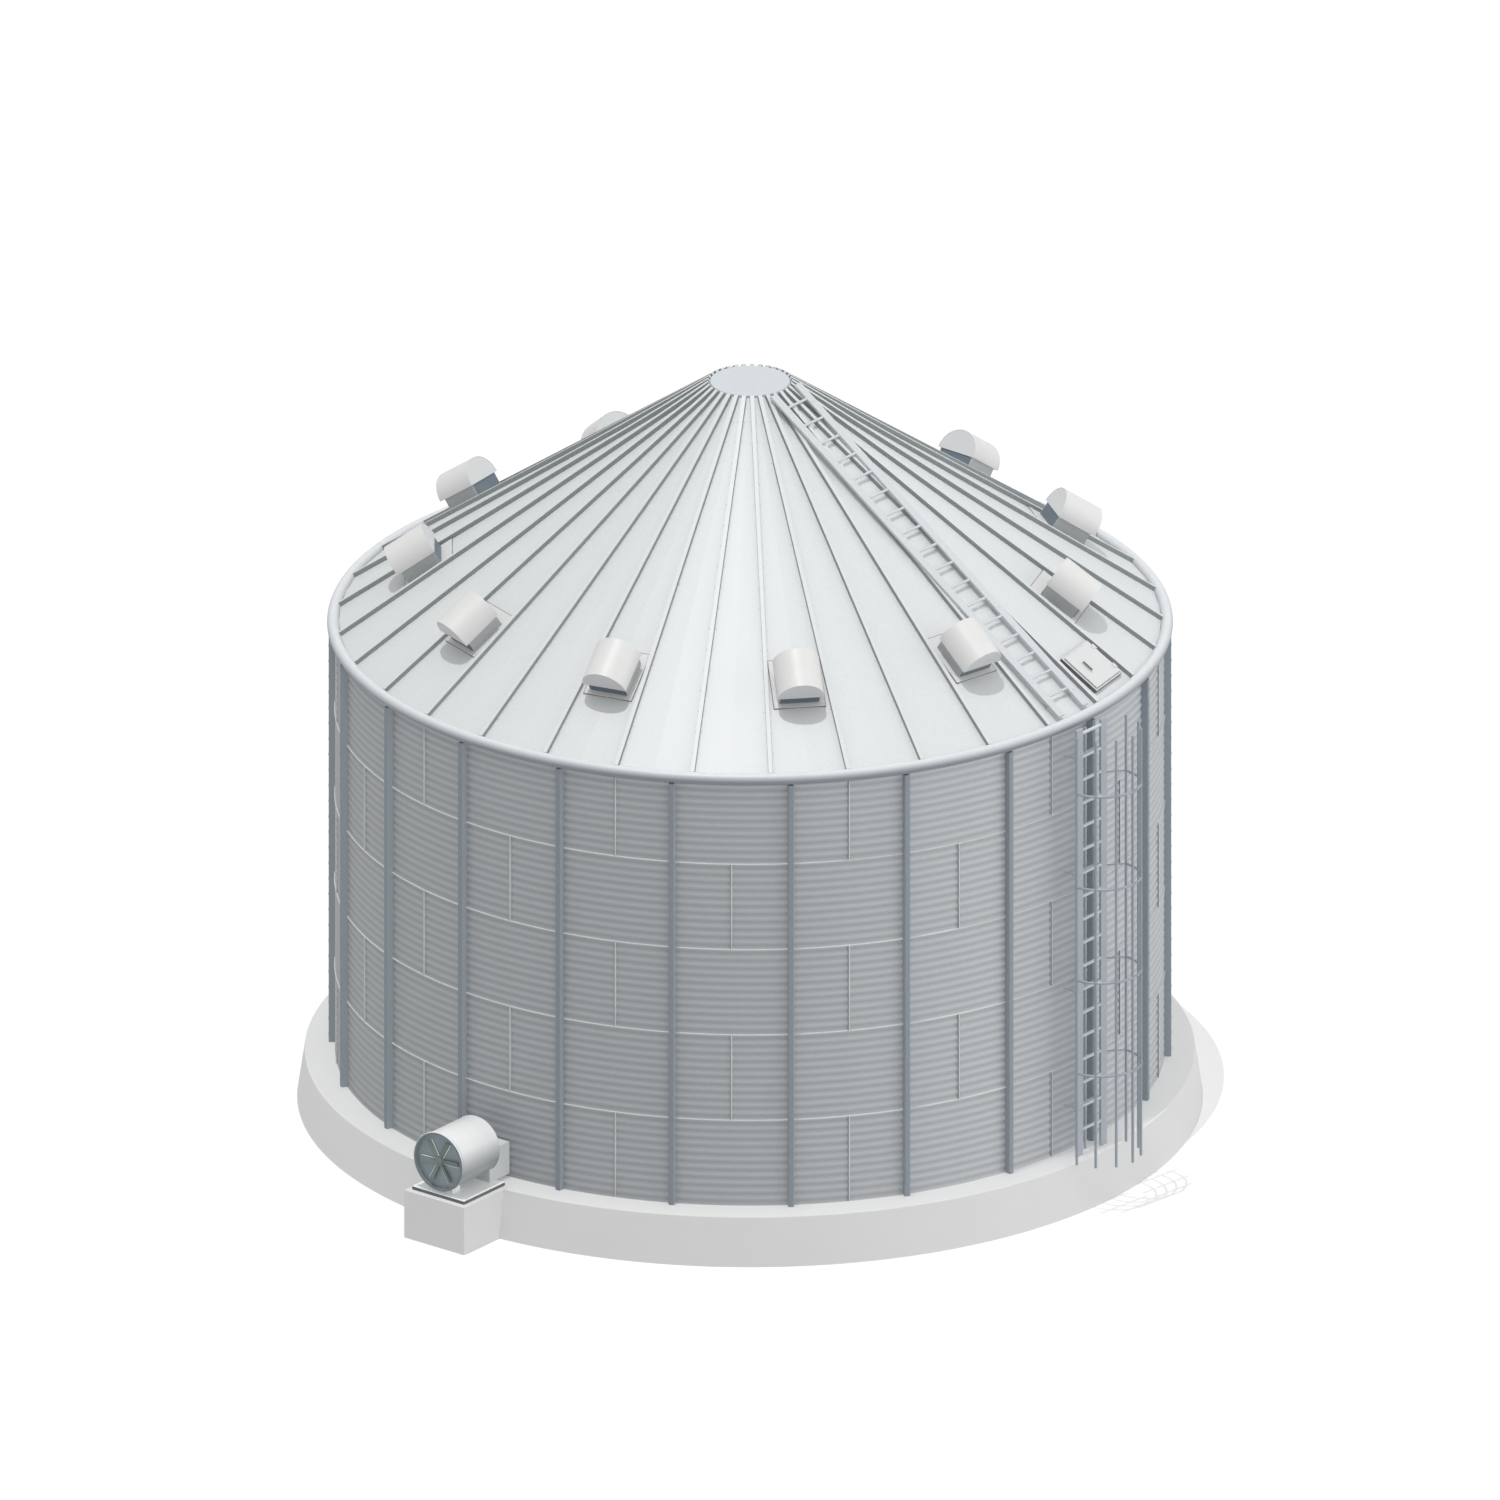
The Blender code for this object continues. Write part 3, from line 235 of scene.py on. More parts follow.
# A shader node: a socket given for an input is linked to it, and any other value is set, a colour from three
# numbers
def addNode(tree, kind, inputs=None, **settings):
    node = tree.nodes.new("ShaderNode" + kind)
    for key, value in settings.items():
        setattr(node, key, value)
    for key, value in (inputs or {}).items():
        socket = node.inputs[key]
        if isinstance(value, bpy.types.NodeSocket):
            tree.links.new(value, socket)
        else:
            socket.default_value = (*value, 1.0) if socket.type == "RGBA" else value
    return node


# One sum on values or sockets
def calculate(tree, operation, *values):
    return addNode(tree, "Math", dict(enumerate(values)), operation=operation).outputs[0]


# Soft random pattern, from 0 to 1 about a mean near 0.5
def noise(tree, vector, scale, detail):
    return addNode(tree, "TexNoise", {"Vector": vector, "Scale": scale, "Detail": detail}).outputs["Fac"]


# Low to high becomes 0 to 1, or the two values that are given
def spread(tree, value, low, high, toLow=0.0, toHigh=1.0):
    limits = {"From Min": low, "From Max": high, "To Min": toLow, "To Max": toHigh}
    return addNode(tree, "MapRange", {"Value": value, **limits}).outputs[0]


# First colour at 0 and second at 1; a Mix node's colour sockets are its inputs 6 and 7 and its output 2
def blend(tree, factor, first, second):
    return addNode(tree, "Mix", {"Factor": factor, 6: first, 7: second}, data_type="RGBA").outputs[2]


# Colour times a factor
def scaleColour(tree, colour, factor):
    return addNode(tree, "VectorMath", {0: colour, "Scale": factor}, operation="SCALE").outputs[0]


def objectPlace(tree):
    return addNode(tree, "TexCoord").outputs["Object"]


# Height above the ground, because every piece's origin lies on it
def heightAbove(tree):
    return addNode(tree, "SeparateXYZ", {0: objectPlace(tree)}).outputs["Z"]


# A group whose inputs have the defaults given: effect(tree, inputs) makes its nodes and gives its outputs
def makeGroup(effect, defaults):
    group = bpy.data.node_groups.new(effect.__name__, "ShaderNodeTree")

    def addSocket(socket, side):
        kind = "NodeSocketColor" if socket.endswith("Colour") else "NodeSocketFloat"
        return group.interface.new_socket(name=socket, in_out=side, socket_type=kind)

    for socket, value in defaults.items():
        addSocket(socket, "INPUT").default_value = value
    results = effect(group, group.nodes.new("NodeGroupInput").outputs)
    for socket in results:
        addSocket(socket, "OUTPUT")
    out = group.nodes.new("NodeGroupOutput")
    for socket, source in results.items():
        group.links.new(source, out.inputs[socket])
    return group


# Zinc: flat crystals of slightly different grey, faint long runs down the sheet, and a fine grain
def zincCoat(tree, given):
    place = objectPlace(tree)
    crystals = addNode(tree, "TexVoronoi", {"Vector": place, "Scale": given["Crystal Scale"]})
    shade = addNode(tree, "SeparateColor", {0: crystals.outputs["Color"]})
    stretched = addNode(tree, "Mapping", {"Vector": place, "Scale": (1.0, 1.0, 0.12)}).outputs["Vector"]
    runs = noise(tree, stretched, 2.6, 5.0)
    grain = noise(tree, place, 420.0, 2.0)
    crystalTone, runTone = (
        calculate(tree, "MULTIPLY", calculate(tree, "SUBTRACT", source, 0.5), given[contrast])
        for source, contrast in ((shade.outputs[0], "Crystal Contrast"), (runs, "Run Contrast"))
    )
    total = calculate(tree, "ADD", crystalTone, runTone)
    return {
        "Colour": scaleColour(tree, given["Colour"], calculate(tree, "ADD", total, 1.0)),
        "Roughness": calculate(tree, "ADD", given["Roughness"], total),
        "Height": calculate(tree, "ADD", shade.outputs[1], grain),
    }


# Coated steel: thin cloudy dust, rougher where it lies, and faint orange peel
def coatedSteel(tree, given):
    place = objectPlace(tree)
    dust = calculate(tree, "MULTIPLY", spread(tree, noise(tree, place, 5.0, 6.0), 0.45, 0.75), given["Dust"])
    return {
        "Colour": blend(tree, dust, given["Colour"], given["Dust Colour"]),
        "Roughness": calculate(tree, "ADD", given["Roughness"], dust),
        "Height": noise(tree, place, 260.0, 1.0),
    }


# Cast concrete: soft blotches, fine sand and scattered pin holes
def castConcrete(tree, given):
    place = objectPlace(tree)
    stain = spread(tree, noise(tree, place, 1.4, 7.0), 0.35, 0.75, 0.0, 0.35)
    holes = addNode(tree, "TexVoronoi", {"Vector": place, "Scale": 28.0}).outputs["Distance"]
    pit = spread(tree, holes, 0.03, 0.09)
    tone = blend(tree, stain, given["Colour"], given["Stain Colour"])
    return {
        "Colour": scaleColour(tree, tone, spread(tree, pit, 0.0, 1.0, 0.93, 1.0)),
        "Height": calculate(tree, "ADD", noise(tree, place, 180.0, 3.0), pit),
    }


# Painted underside shade: the shade colour below the low height, the surface's own above the high one, and a
# blend between
def paintedUnderShade(tree, given):
    rise = spread(tree, heightAbove(tree), given["Low"], given["High"])
    return {"Colour": blend(tree, rise, given["Shade Colour"], given["Colour"])}


# Painted corrugation shading: colour x (1 + contrast cos(2 pi (z - start) / pitch)), crests painted lighter
# and valleys darker as the light and shade of the corrugation
def paintedCrestShade(tree, given):
    rise = calculate(tree, "SUBTRACT", heightAbove(tree), given["Start"])
    turns = calculate(tree, "DIVIDE", rise, given["Pitch"])
    wave = calculate(tree, "COSINE", calculate(tree, "MULTIPLY", turns, 2 * np.pi))
    gain = calculate(tree, "MULTIPLY_ADD", wave, given["Contrast"], 1.0)
    return {"Colour": scaleColour(tree, given["Colour"], gain)}


grey = (0.5, 0.5, 0.5, 1.0)
groups = {
    "zinc": makeGroup(
        zincCoat,
        {
            "Colour": grey,
            "Roughness": 0.4,
            "Crystal Scale": 70.0,
            "Crystal Contrast": 0.06,
            "Run Contrast": 0.05,
        },
    ),
    "paint": makeGroup(
        coatedSteel,
        {"Colour": grey, "Roughness": 0.4, "Dust Colour": (0.6, 0.58, 0.54, 1.0), "Dust": 0.12},
    ),
    "concrete": makeGroup(castConcrete, {"Colour": grey, "Stain Colour": grey}),
    "underShade": makeGroup(paintedUnderShade, {"Colour": grey, "Shade Colour": grey, "Low": 0.0, "High": 1.0}),
    "crest": makeGroup(paintedCrestShade, {"Colour": grey, "Start": 0.0, "Pitch": 0.1, "Contrast": 0.05}),
}


def placeGroup(tree, kind, inputs):
    return addNode(tree, "Group", inputs, node_tree=groups[kind]).outputs


# Finish: colour, roughness and relief from the group of its kind, with painted underside shade or painted
# corrugation shading where given. Concrete is equally rough all over, so its roughness stays on the shader.
def makeFinish(
    name, kind, colour, roughness, bump=0.0002, metallic=0.0, specular=0.5, more=None, underShade=None, crest=None
):
    material = bpy.data.materials.new(name)
    material.use_nodes = True
    tree = material.node_tree
    shader = tree.nodes["Principled BSDF"]
    shader.inputs["Metallic"].default_value = metallic
    shader.inputs["Specular IOR Level"].default_value = specular
    shader.inputs["Roughness"].default_value = roughness
    values = {"Colour": colour, **(more or {})}
    if kind != "concrete":
        values["Roughness"] = roughness
    coat = placeGroup(tree, kind, values)
    tone = coat["Colour"]
    if underShade:
        tone = placeGroup(tree, "underShade", {"Colour": tone, **underShade})["Colour"]
    if crest:
        tone = placeGroup(tree, "crest", {"Colour": tone, **crest})["Colour"]
    tree.links.new(tone, shader.inputs["Base Color"])
    if kind != "concrete":
        tree.links.new(coat["Roughness"], shader.inputs["Roughness"])
    relief = addNode(tree, "Bump", {"Height": coat["Height"], "Strength": 0.3, "Distance": bump})
    tree.links.new(relief.outputs["Normal"], shader.inputs["Normal"])
    return material


# Each entry gives the material's name, its kind, colour and roughness, and what else differs
fineCrystals = {"Crystal Scale": 300.0}
finish = {
    "wall": makeFinish(
        "wallZinc", "zinc", (0.402, 0.421, 0.434), 0.58, metallic=0.12, specular=0.45,
        # crests painted lighter and valleys darker: painted light and shade of the corrugation
        crest={"Start": shared["wallBottom"], "Pitch": shared["corrugation"], "Contrast": 0.115},
    ),
    "stiffener": makeFinish("stiffenerZinc", "zinc", (0.224, 0.257, 0.289), 0.5, specular=0.4),
    # stiffener side faces: a lighter copy of the stiffener zinc, painted light
    "stiffenerSidePaintedLight": makeFinish("stiffenerSidePaintedLight", "zinc", (0.29, 0.33, 0.365), 0.5, specular=0.4),
    "band": makeFinish("lapZinc", "zinc", (0.58, 0.60, 0.61), 0.4),
    # lap strip painted lighter as a highlight, and the narrow shade line painted dark as shade
    "seam": makeFinish("seamHighlightZinc", "zinc", (0.60, 0.62, 0.63), 0.5, specular=0.4),
    "shadeLine": makeFinish("seamShadeLine", "paint", (0.21, 0.225, 0.235), 0.6, specular=0.3, more={"Dust": 0.1}),
    "roof": makeFinish(
        "roofZinc", "zinc", (0.62, 0.64, 0.645), 0.46, specular=0.55, more={"Run Contrast": 0.02}
    ),
    # rib sides: painted shade
    "ribSidePaintedShade": makeFinish("ribSidePaintedShade", "zinc", (0.26, 0.285, 0.29), 0.5, specular=0.4),
    "roofScrew": makeFinish(
        "roofScrew", "zinc", (0.52, 0.54, 0.545), 0.5, 0.0001, specular=0.4, more=fineCrystals
    ),
    "cap": makeFinish("capZinc", "zinc", (0.55, 0.588, 0.612), 0.45),
    # eave: the lower part of the tube is painted darker as shade
    "eave": makeFinish(
        "eaveZinc", "zinc", (0.66, 0.68, 0.70), 0.4, specular=0.4,
        underShade={"Low": 6.195, "High": 6.285, "Shade Colour": (0.25, 0.28, 0.305)},
    ),
    "ladder": makeFinish("ladderZinc", "zinc", (0.56, 0.585, 0.605), 0.45, specular=0.4),
    "ladderWall": makeFinish("ladderWallZinc", "zinc", (0.42, 0.46, 0.505), 0.42, metallic=0.4),
    "cage": makeFinish("cageZinc", "zinc", (0.325, 0.363, 0.405), 0.42, metallic=0.2),
    "bolt": makeFinish("boltZinc", "zinc", (0.38, 0.40, 0.41), 0.4, 0.0001, metallic=0.3, more=fineCrystals),
    "vent": makeFinish("ventWhite", "paint", (0.66, 0.66, 0.655), 0.45, more={"Dust": 0.08}),
    # hood end faces, neck and screens: darker copies of the vent paint, painted shade
    "ventFaceShade": makeFinish("ventFaceShade", "paint", (0.60, 0.61, 0.62), 0.5, more={"Dust": 0.08}),
    "ventNeckShade": makeFinish("ventNeckShade", "paint", (0.42, 0.44, 0.45), 0.5, more={"Dust": 0.08}),
    "ventInnerShade": makeFinish("ventInnerShade", "paint", (0.12, 0.155, 0.19), 0.5, more={"Dust": 0.05}),
    # dark line round the flange: painted shade on its edge
    "flangeShadeLine": makeFinish("flangeShadeBand", "paint", (0.20, 0.21, 0.215), 0.6, specular=0.3, more={"Dust": 0.1}),
    "hatch": makeFinish("hatchWhite", "paint", (0.62, 0.625, 0.63), 0.45, more={"Dust": 0.1}),
    # fan barrel: painted darker towards the bottom as shade on its underside
    "fan": makeFinish(
        "fanWhite", "paint", (0.80, 0.81, 0.81), 0.3, more={"Dust": 0.05},
        underShade={"Low": 0.98, "High": 1.26, "Shade Colour": (0.29, 0.31, 0.32)},
    ),
    "fanDisc": makeFinish("fanDisc", "paint", (0.245, 0.295, 0.32), 0.5, more={"Dust": 0.1}),
    # rim face and liner: painted shade
    "fanRingShade": makeFinish("fanRingShade", "paint", (0.17, 0.205, 0.225), 0.5, more={"Dust": 0.1}),
    # plate top: painted lighter as light where the barrel shades it
    "plateTopPaintedLight": makeFinish("plateTopPaintedLight", "paint", (0.90, 0.92, 0.92), 0.5, more={"Dust": 0.05}),
    # dark finish: the grip's own colour, and painted shade on the plate's edge, the hatch bands and the fan's
    # rim gap
    "darkGripAndShade": makeFinish("darkGripAndShade", "paint", (0.11, 0.12, 0.125), 0.6, more={"Dust": 0.1}),
    "duct": makeFinish("ductGrey", "paint", (0.60, 0.62, 0.63), 0.45, more={"Dust": 0.08}),
    "blade": makeFinish("bladeGrey", "paint", (0.165, 0.205, 0.195), 0.45, 0.0001, more={"Dust": 0.05}),
    # blade lip: a bright finish, painted highlight
    "bladeEdgeHighlight": makeFinish(
        "bladeEdgeHighlight", "zinc", (0.92, 0.95, 0.92), 0.3, 0.0001, more={"Crystal Scale": 200.0}
    ),
    "concrete": makeFinish(
        "concrete", "concrete", (0.70, 0.70, 0.70), 0.9, 0.0015, specular=0.3,
        more={"Stain Colour": (0.66, 0.66, 0.655)},
    ),
}
print("finishes made:", len(finish))


# A CAD node's own mesh takes the finish
def dress(name, key):
    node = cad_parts[name]
    thing = node if isinstance(node, bpy.types.Object) else bpy.data.objects[name]
    thing.data.materials.clear()
    thing.data.materials.append(finish[key])


# Foundation: a low cone frustum with a rounded arris
foundation = {"bottomRadius": 5.49, "topRadius": 5.40, "height": 0.62, "arris": 0.014}


def makeFoundation(f):
    turn = np.radians(np.linspace(0, 90, 5))
    radius = f["topRadius"] - f["arris"] * (1 - np.cos(turn))
    height = f["height"] - f["arris"] * (1 - np.sin(turn))
    profile = np.concatenate([[[f["bottomRadius"], 0.0]], np.stack([radius, height], -1)])
    rings = polar(roundAzimuths[None, :], profile[:, None, 0], profile[:, None, 1])
    makePiece("foundationCast", [skin(rings)], ["concrete"], replaces=["foundation"])


makeFoundation(foundation)
dress("fan_pad", "concrete")
print("foundation made")


# Wall rings: radius = crest - depth/2 (1 - cos(2 pi (z - low) / pitch)), with three strips along each
# upright lap: one painted lighter as the highlight on the lap's edge, a narrow dark one painted as its shade,
# and a plate
wall = {
    "crest": 5.030,
    "depth": 0.0127,
    "skin": 0.004,
    "rowsPerPitch": 8,
    "columnsPerSheet": 20,
    "top": 6.1366,
    "strip": (-0.004, 0.008, 5.045),  # the lap's edge: its two sides round the bin, and its outer radius
    # the narrow dark strip: painted shade on the lap's edge
    "shadeLine": (-0.0065, -0.0038, 5.0445),
    "plate": (-0.017, 0.017, 5.0315),
    "lapBolts": 0.024,
    "seamEven": 13.78,  # first, third and fifth ring from the top
    "seamOdd": -2.58,
}


def makeWallRing(w, number):
    pitch = shared["corrugation"]
    low = shared["wallBottom"] + shared["ringHeight"] * number
    high = min(low + shared["ringHeight"], w["top"])

    def waveAt(z):
        return w["crest"] - w["depth"] / 2 * (1 - np.cos(2 * np.pi * (z - low) / pitch))

    z = np.linspace(low, high, int(round((high - low) / pitch)) * w["rowsPerPitch"] + 1)
    inside = z[:: w["rowsPerPitch"] // 4][::-1]
    radii = np.concatenate([waveAt(z), waveAt(inside) - w["skin"]])
    fromTop = shared["rings"] - 1 - number
    seam = w["seamEven"] if fromTop % 2 == 0 else w["seamOdd"]
    seams = seam + sheetAngle * np.arange(shared["sheets"])
    columns = seam + sheetAngle / w["columnsPerSheet"] * np.arange(shared["sheets"] * w["columnsPerSheet"])
    pieces = [(turned(np.stack([radii, np.concatenate([z, inside])], -1), columns), 0)]
    # the strip takes the lighter seam finish (painted highlight), the shade line the dark finish (painted
    # shade)
    for key, finishNumber in (("strip", 1), ("shadeLine", 2), ("plate", 0)):
        left, right, reach = w[key]
        box = boxPoints([low + 0.004, left, w["crest"] - 0.018], [high - 0.004, right, reach])[..., ::-1]
        pieces.append((skin(around(box, seams, placed)), finishNumber))
    spots = lattice(w["crest"], w["lapBolts"], low + pitch * np.arange(1, 11))
    bolts = boltPoints(spots, (1.0, 0.0, 0.0), 0.006, 0.003)
    return pieces + [(skin(around(bolts, seams, placed)), 0)]


def makeWall(w):
    for number in range(shared["rings"]):
        pieces = makeWallRing(w, number)
        finishes = ["wall", "seam", "shadeLine"]
        makePiece(f"wallRing{number + 1}", pieces, finishes, replaces=wallNodes, sharp=50)


makeWall(wall)

# Bands over the laps between rings: a flat hoop with cut edges, and a row of bolts under it
bands = {"inner": 5.014, "outer": 5.042, "half": 0.007, "edge": 0.003, "bolts": 132, "firstBolt": 3.87}


def makeBands(b):
    skins = []
    inner, outer, half, e = b["inner"], b["outer"], b["half"], b["edge"]
    right = [(inner, -half), (outer - e, -half), (outer, e - half)]
    section = np.array(right + [(radius, -z) for radius, z in right[::-1]])
    spots = b["firstBolt"] + 360 * np.arange(b["bolts"]) / b["bolts"]
    for ring in range(1, shared["rings"]):
        z = foundation["height"] + shared["ringHeight"] * ring
        skins.append((turned(section + [0.0, z], roundAzimuths), 0))
        place = polar(spots, wall["crest"] - wall["depth"], z - shared["corrugation"] / 2)
        skins.append((skin(boltPoints(place, outwardAt(spots), 0.009, 0.006)), 1))
    makePiece("lapBands", skins, ["band", "bolt"], replaces=wallNodes)


makeBands(bands)

# Stiffeners: box section posts with cut corners, each with a line of bolts two corrugations apart; their side
# faces are painted lighter as the light falling on them
stiffeners = {
    "count": 22,
    "first": 5.598,
    "inner": 5.012,
    "outer": 5.111,
    "width": 0.066,
    "corner": 0.005,
    "bottom": 0.6213,
    "top": 6.1377,
    "bolts": 27,
    "firstBolt": 0.7213,
}


def makeStiffeners(s):
    azimuths = s["first"] + 360 / s["count"] * np.arange(s["count"])
    half = s["width"] / 2
    box = boxPoints([s["bottom"], -half, s["inner"]], [s["top"], half, s["outer"]], s["corner"])[..., ::-1]
    # the side faces take the lighter finish, painted light
    sidesPaintedLighter = (1, 0, 0, 0, 1, 0, 0, 0)
    skins = [(skin(placed(box, a)), sidesPaintedLighter) for a in azimuths]
    heights = s["firstBolt"] + 2 * shared["corrugation"] * np.arange(s["bolts"])
    place = polar(azimuths[:, None], s["outer"], heights[None, :])
    normal = np.broadcast_to(outwardAt(azimuths)[:, None], place.shape)
    skins.append((skin(boltPoints(place, normal, 0.010, 0.006)), 0))
    makePiece("stiffeners", skins, ["stiffener", "stiffenerSidePaintedLight"], replaces=wallNodes)


makeStiffeners(stiffeners)
print("wall made")

# Eave ring: a round tube, radius = major + tube cos(t), z = middle + tube sin(t); painted darker towards the
# bottom as shade under the tube
eave = {"major": 5.054, "tube": 0.073, "z": 6.211, "sides": 28}


def makeEave(e):
    turn = fullTurn(e["sides"])
    profile = np.stack([e["major"] + e["tube"] * np.cos(turn), e["z"] + e["tube"] * np.sin(turn)], -1)
    tube = turned(profile, roundAzimuths)
    makePiece("eaveTube", [tube], ["eave"], replaces=["eave_ring"])


makeEave(eave)

# Roof: the solids' own sheets, cap and hatch take their finishes
for number in range(1, shared["sheets"] + 1):
    dress(f"roof_sector_{number:02d}", "roof")
dress("peak_cap", "cap")
dress("hatch_frame", "hatch")
dress("hatch_lid", "hatch")
print("roof dressed")

# Ribs: a folded cover over each solid rib, its sides painted darker than the strip on top as shade, and a row
# of screws on each side
ribs = {
    "start": 0.5855,
    "end": 6.0455,
    "width": 0.0508,
    "height": 0.0553,
    "corner": 0.005,
    "screwOffset": 0.042,
    "screwPitch": 0.30,
}


def makeRibs(r):
    azimuths = shared["ribAzimuth"] + panelAngle * np.arange(shared["ribs"])
    start, end, half, top, c = r["start"], r["end"], r["width"] / 2, r["height"], r["corner"]
    turn = np.radians([90, 60, 30, 0])
    right = np.stack([half - c + c * np.cos(turn), top - c + c * np.sin(turn)], -1)
    outline = np.concatenate([right, [[half, -0.004], [-half, -0.004]], right[::-1] * [-1, 1]])
    cover = extruded(outline, [start, end])
    inset = half - 0.0030
    strip = boxPoints([start - 0.0002, -inset, top - 0.002], [end, inset, top + 0.0005], 0.0004)
    along = np.arange(start + 0.35, end - 0.1, r["screwPitch"])
    screws = boltPoints(lattice(along, [-r["screwOffset"], r["screwOffset"]], -0.002), upward, 0.006, 0.006)
    skins = [(skin(around(points, azimuths, onRoof)), n) for n, points in enumerate((cover, strip, screws))]
    makePiece("roofRibs", skins, ["ribSidePaintedShade", "roof", "roofScrew"])


makeRibs(ribs)
print("ribs made")

# Vents: a flange, a louvred neck and a half-round hood, radius about the line at the hood's base. The neck
# and its screens are painted dark and the hood's end faces a little darker, all painted shade
vents = {
    "low": 5.0782,
    "flangeLength": 0.69,
    "flangeHalf": 0.3125,
    "flangeTop": 0.006,
    "setback": 0.010,
    "length": 0.55,
    "radius": 0.285,
    "sheet": 0.004,
    "base": 0.180,
    "neckBack": 0.020,
    "neckFront": 0.053,
    "neckHalf": 0.25,
    "neckTop": 0.30,
    "neckBottom": -0.011,
    "louvres": 6,
    "flangeShadeLine": 0.009,
}


def makeVents(v):
    radius, sheet, base = v["radius"], v["sheet"], v["base"]
    low = v["low"] - v["setback"]
    high = low - v["length"]
    turn = np.radians(np.linspace(0, 180, 41))
    arc = np.stack([np.cos(turn), np.sin(turn)], -1)
    outer = (radius - np.array([0.0015, 0.0, 0.0, 0.0015]))[:, None, None] * arc
    inner = np.broadcast_to((radius - sheet) * arc[::-1], outer.shape)
    hood = extruded(np.concatenate([outer, inner], 1) + [0.0, base], [high, high + 0.002, low - 0.002, low])
    disc = (radius - sheet - np.array([0.0010, 0.0002, 0.0002, 0.0010]))[:, None, None] * arc + [0.0, base]
    front = extruded(disc, low - 0.004 + np.array([-0.004, -0.003, -0.001, 0.0]))
    back = extruded(disc, high + 0.004 + np.array([0.0, 0.001, 0.003, 0.004]))

    edge, far, half, top = v["low"], v["low"] - v["flangeLength"], v["flangeHalf"], v["flangeTop"]
    grow = v["flangeShadeLine"]
    flange = boxPoints([far, -half, -0.011], [edge, half, top], 0.003)
    # a dark band just round the flange, painted shade on its edge
    flangeShadeLine = boxPoints([far - grow, -half - grow, -0.012], [edge + grow, half + grow, top - 0.003])

    neckTop, neckLow, h = high + v["neckBack"], low - v["neckFront"], v["neckHalf"]
    corners = np.array([[neckTop, -h], [neckLow, -h], [neckLow, h], [neckTop, h]])
    inwards = corners - np.sign(corners - corners.mean(0)) * 0.006
    heights = np.array([v["neckBottom"], v["neckTop"], v["neckTop"], v["neckBottom"]])
    rings = np.stack([corners, corners, inwards, inwards], 1)
    neck = np.concatenate([rings, np.broadcast_to(heights[:, None], (4, 4, 1))], -1)[None]
    screens = boxPoints(
        [[neckLow - 0.004, -h + 0.012, 0.012], [neckTop - 0.003, -h + 0.012, 0.012]],
        [[neckLow + 0.003, h - 0.012, base + 0.06], [neckTop + 0.004, h - 0.012, base + 0.06]],
        0.001,
    )
    blade = np.array([[0.0, 0.014], [0.013, 0.0], [0.013, -0.002], [0.0, 0.012]]) + [neckLow + 0.002, 0.0]
    levels = np.linspace(0.03, base + 0.03, v["louvres"])
    across = [-h + 0.014, h - 0.014]
    slats = np.concatenate([extruded(blade + [0.0, z], across)[..., [1, 0, 2]] for z in levels])

    sides = lattice(np.linspace(far + 0.04, edge - 0.04, 6), [-half + 0.016, half - 0.016], top)
    ends = lattice(far + 0.020, np.linspace(-0.22, 0.22, 4), top)
    flangeBolts = boltPoints(np.concatenate([sides, ends]), upward, 0.007, 0.005)
    rivets = lattice([high + 0.05, (high + low) / 2, low - 0.05], [-radius, radius], base + 0.012)
    hoodBolts = boltPoints(rivets, rivets * [0.0, 1.0, 0.0], 0.006, 0.004)

    def onAll(points, closed=False):
        return skin(around(points, ventAzimuths, onRoof), closed)

    skins = [(onAll(hood), 0), (onAll(front), 1), (onAll(back), 1), (onAll(hoodBolts), 0)]
    makePiece("ventHoods", skins, ["vent", "ventFaceShade"], replaces=ventNodes)
    skins = [(onAll(flange), 0), (onAll(neck, closed=True), 1), (onAll(screens), 2), (onAll(slats), 2)]
    skins += [(onAll(flangeBolts), 0), (onAll(flangeShadeLine), 3)]
    finishes = ["vent", "ventNeckShade", "ventInnerShade", "flangeShadeLine"]
    makePiece("ventNecks", skins, finishes, replaces=ventNodes)


makeVents(vents)
print("vents made")

# Hatch: the solids' frame and lid, with bolts, a dark band round the frame and one under the lid, both
# painted shade on the sides of the frame and lid, and a dark grip
hatch = {
    "azimuth": 62.87,
    "s": 5.6249,  # the lid's middle, down the slope from the apex
    "frameHalf": (0.2925, 0.3325),
    "frameTop": 0.042,
    "lidHalf": (0.265, 0.305),
    "lidTop": 0.0623,
    "hinges": (-0.17, 0.17),
}


# Four bars round a rectangle of half sizes a and b about the distance s down the slope
def barsRound(s, a, b, thick, low, high):
    lows = [[s - a, -b, low], [s + a - thick, -b, low], [s - a, -b, low], [s - a, b - thick, low]]
    highs = [[s - a + thick, b, high], [s + a, b, high], [s + a, -b + thick, high], [s + a, b, high]]
    return boxPoints(lows, highs, 0.0006)


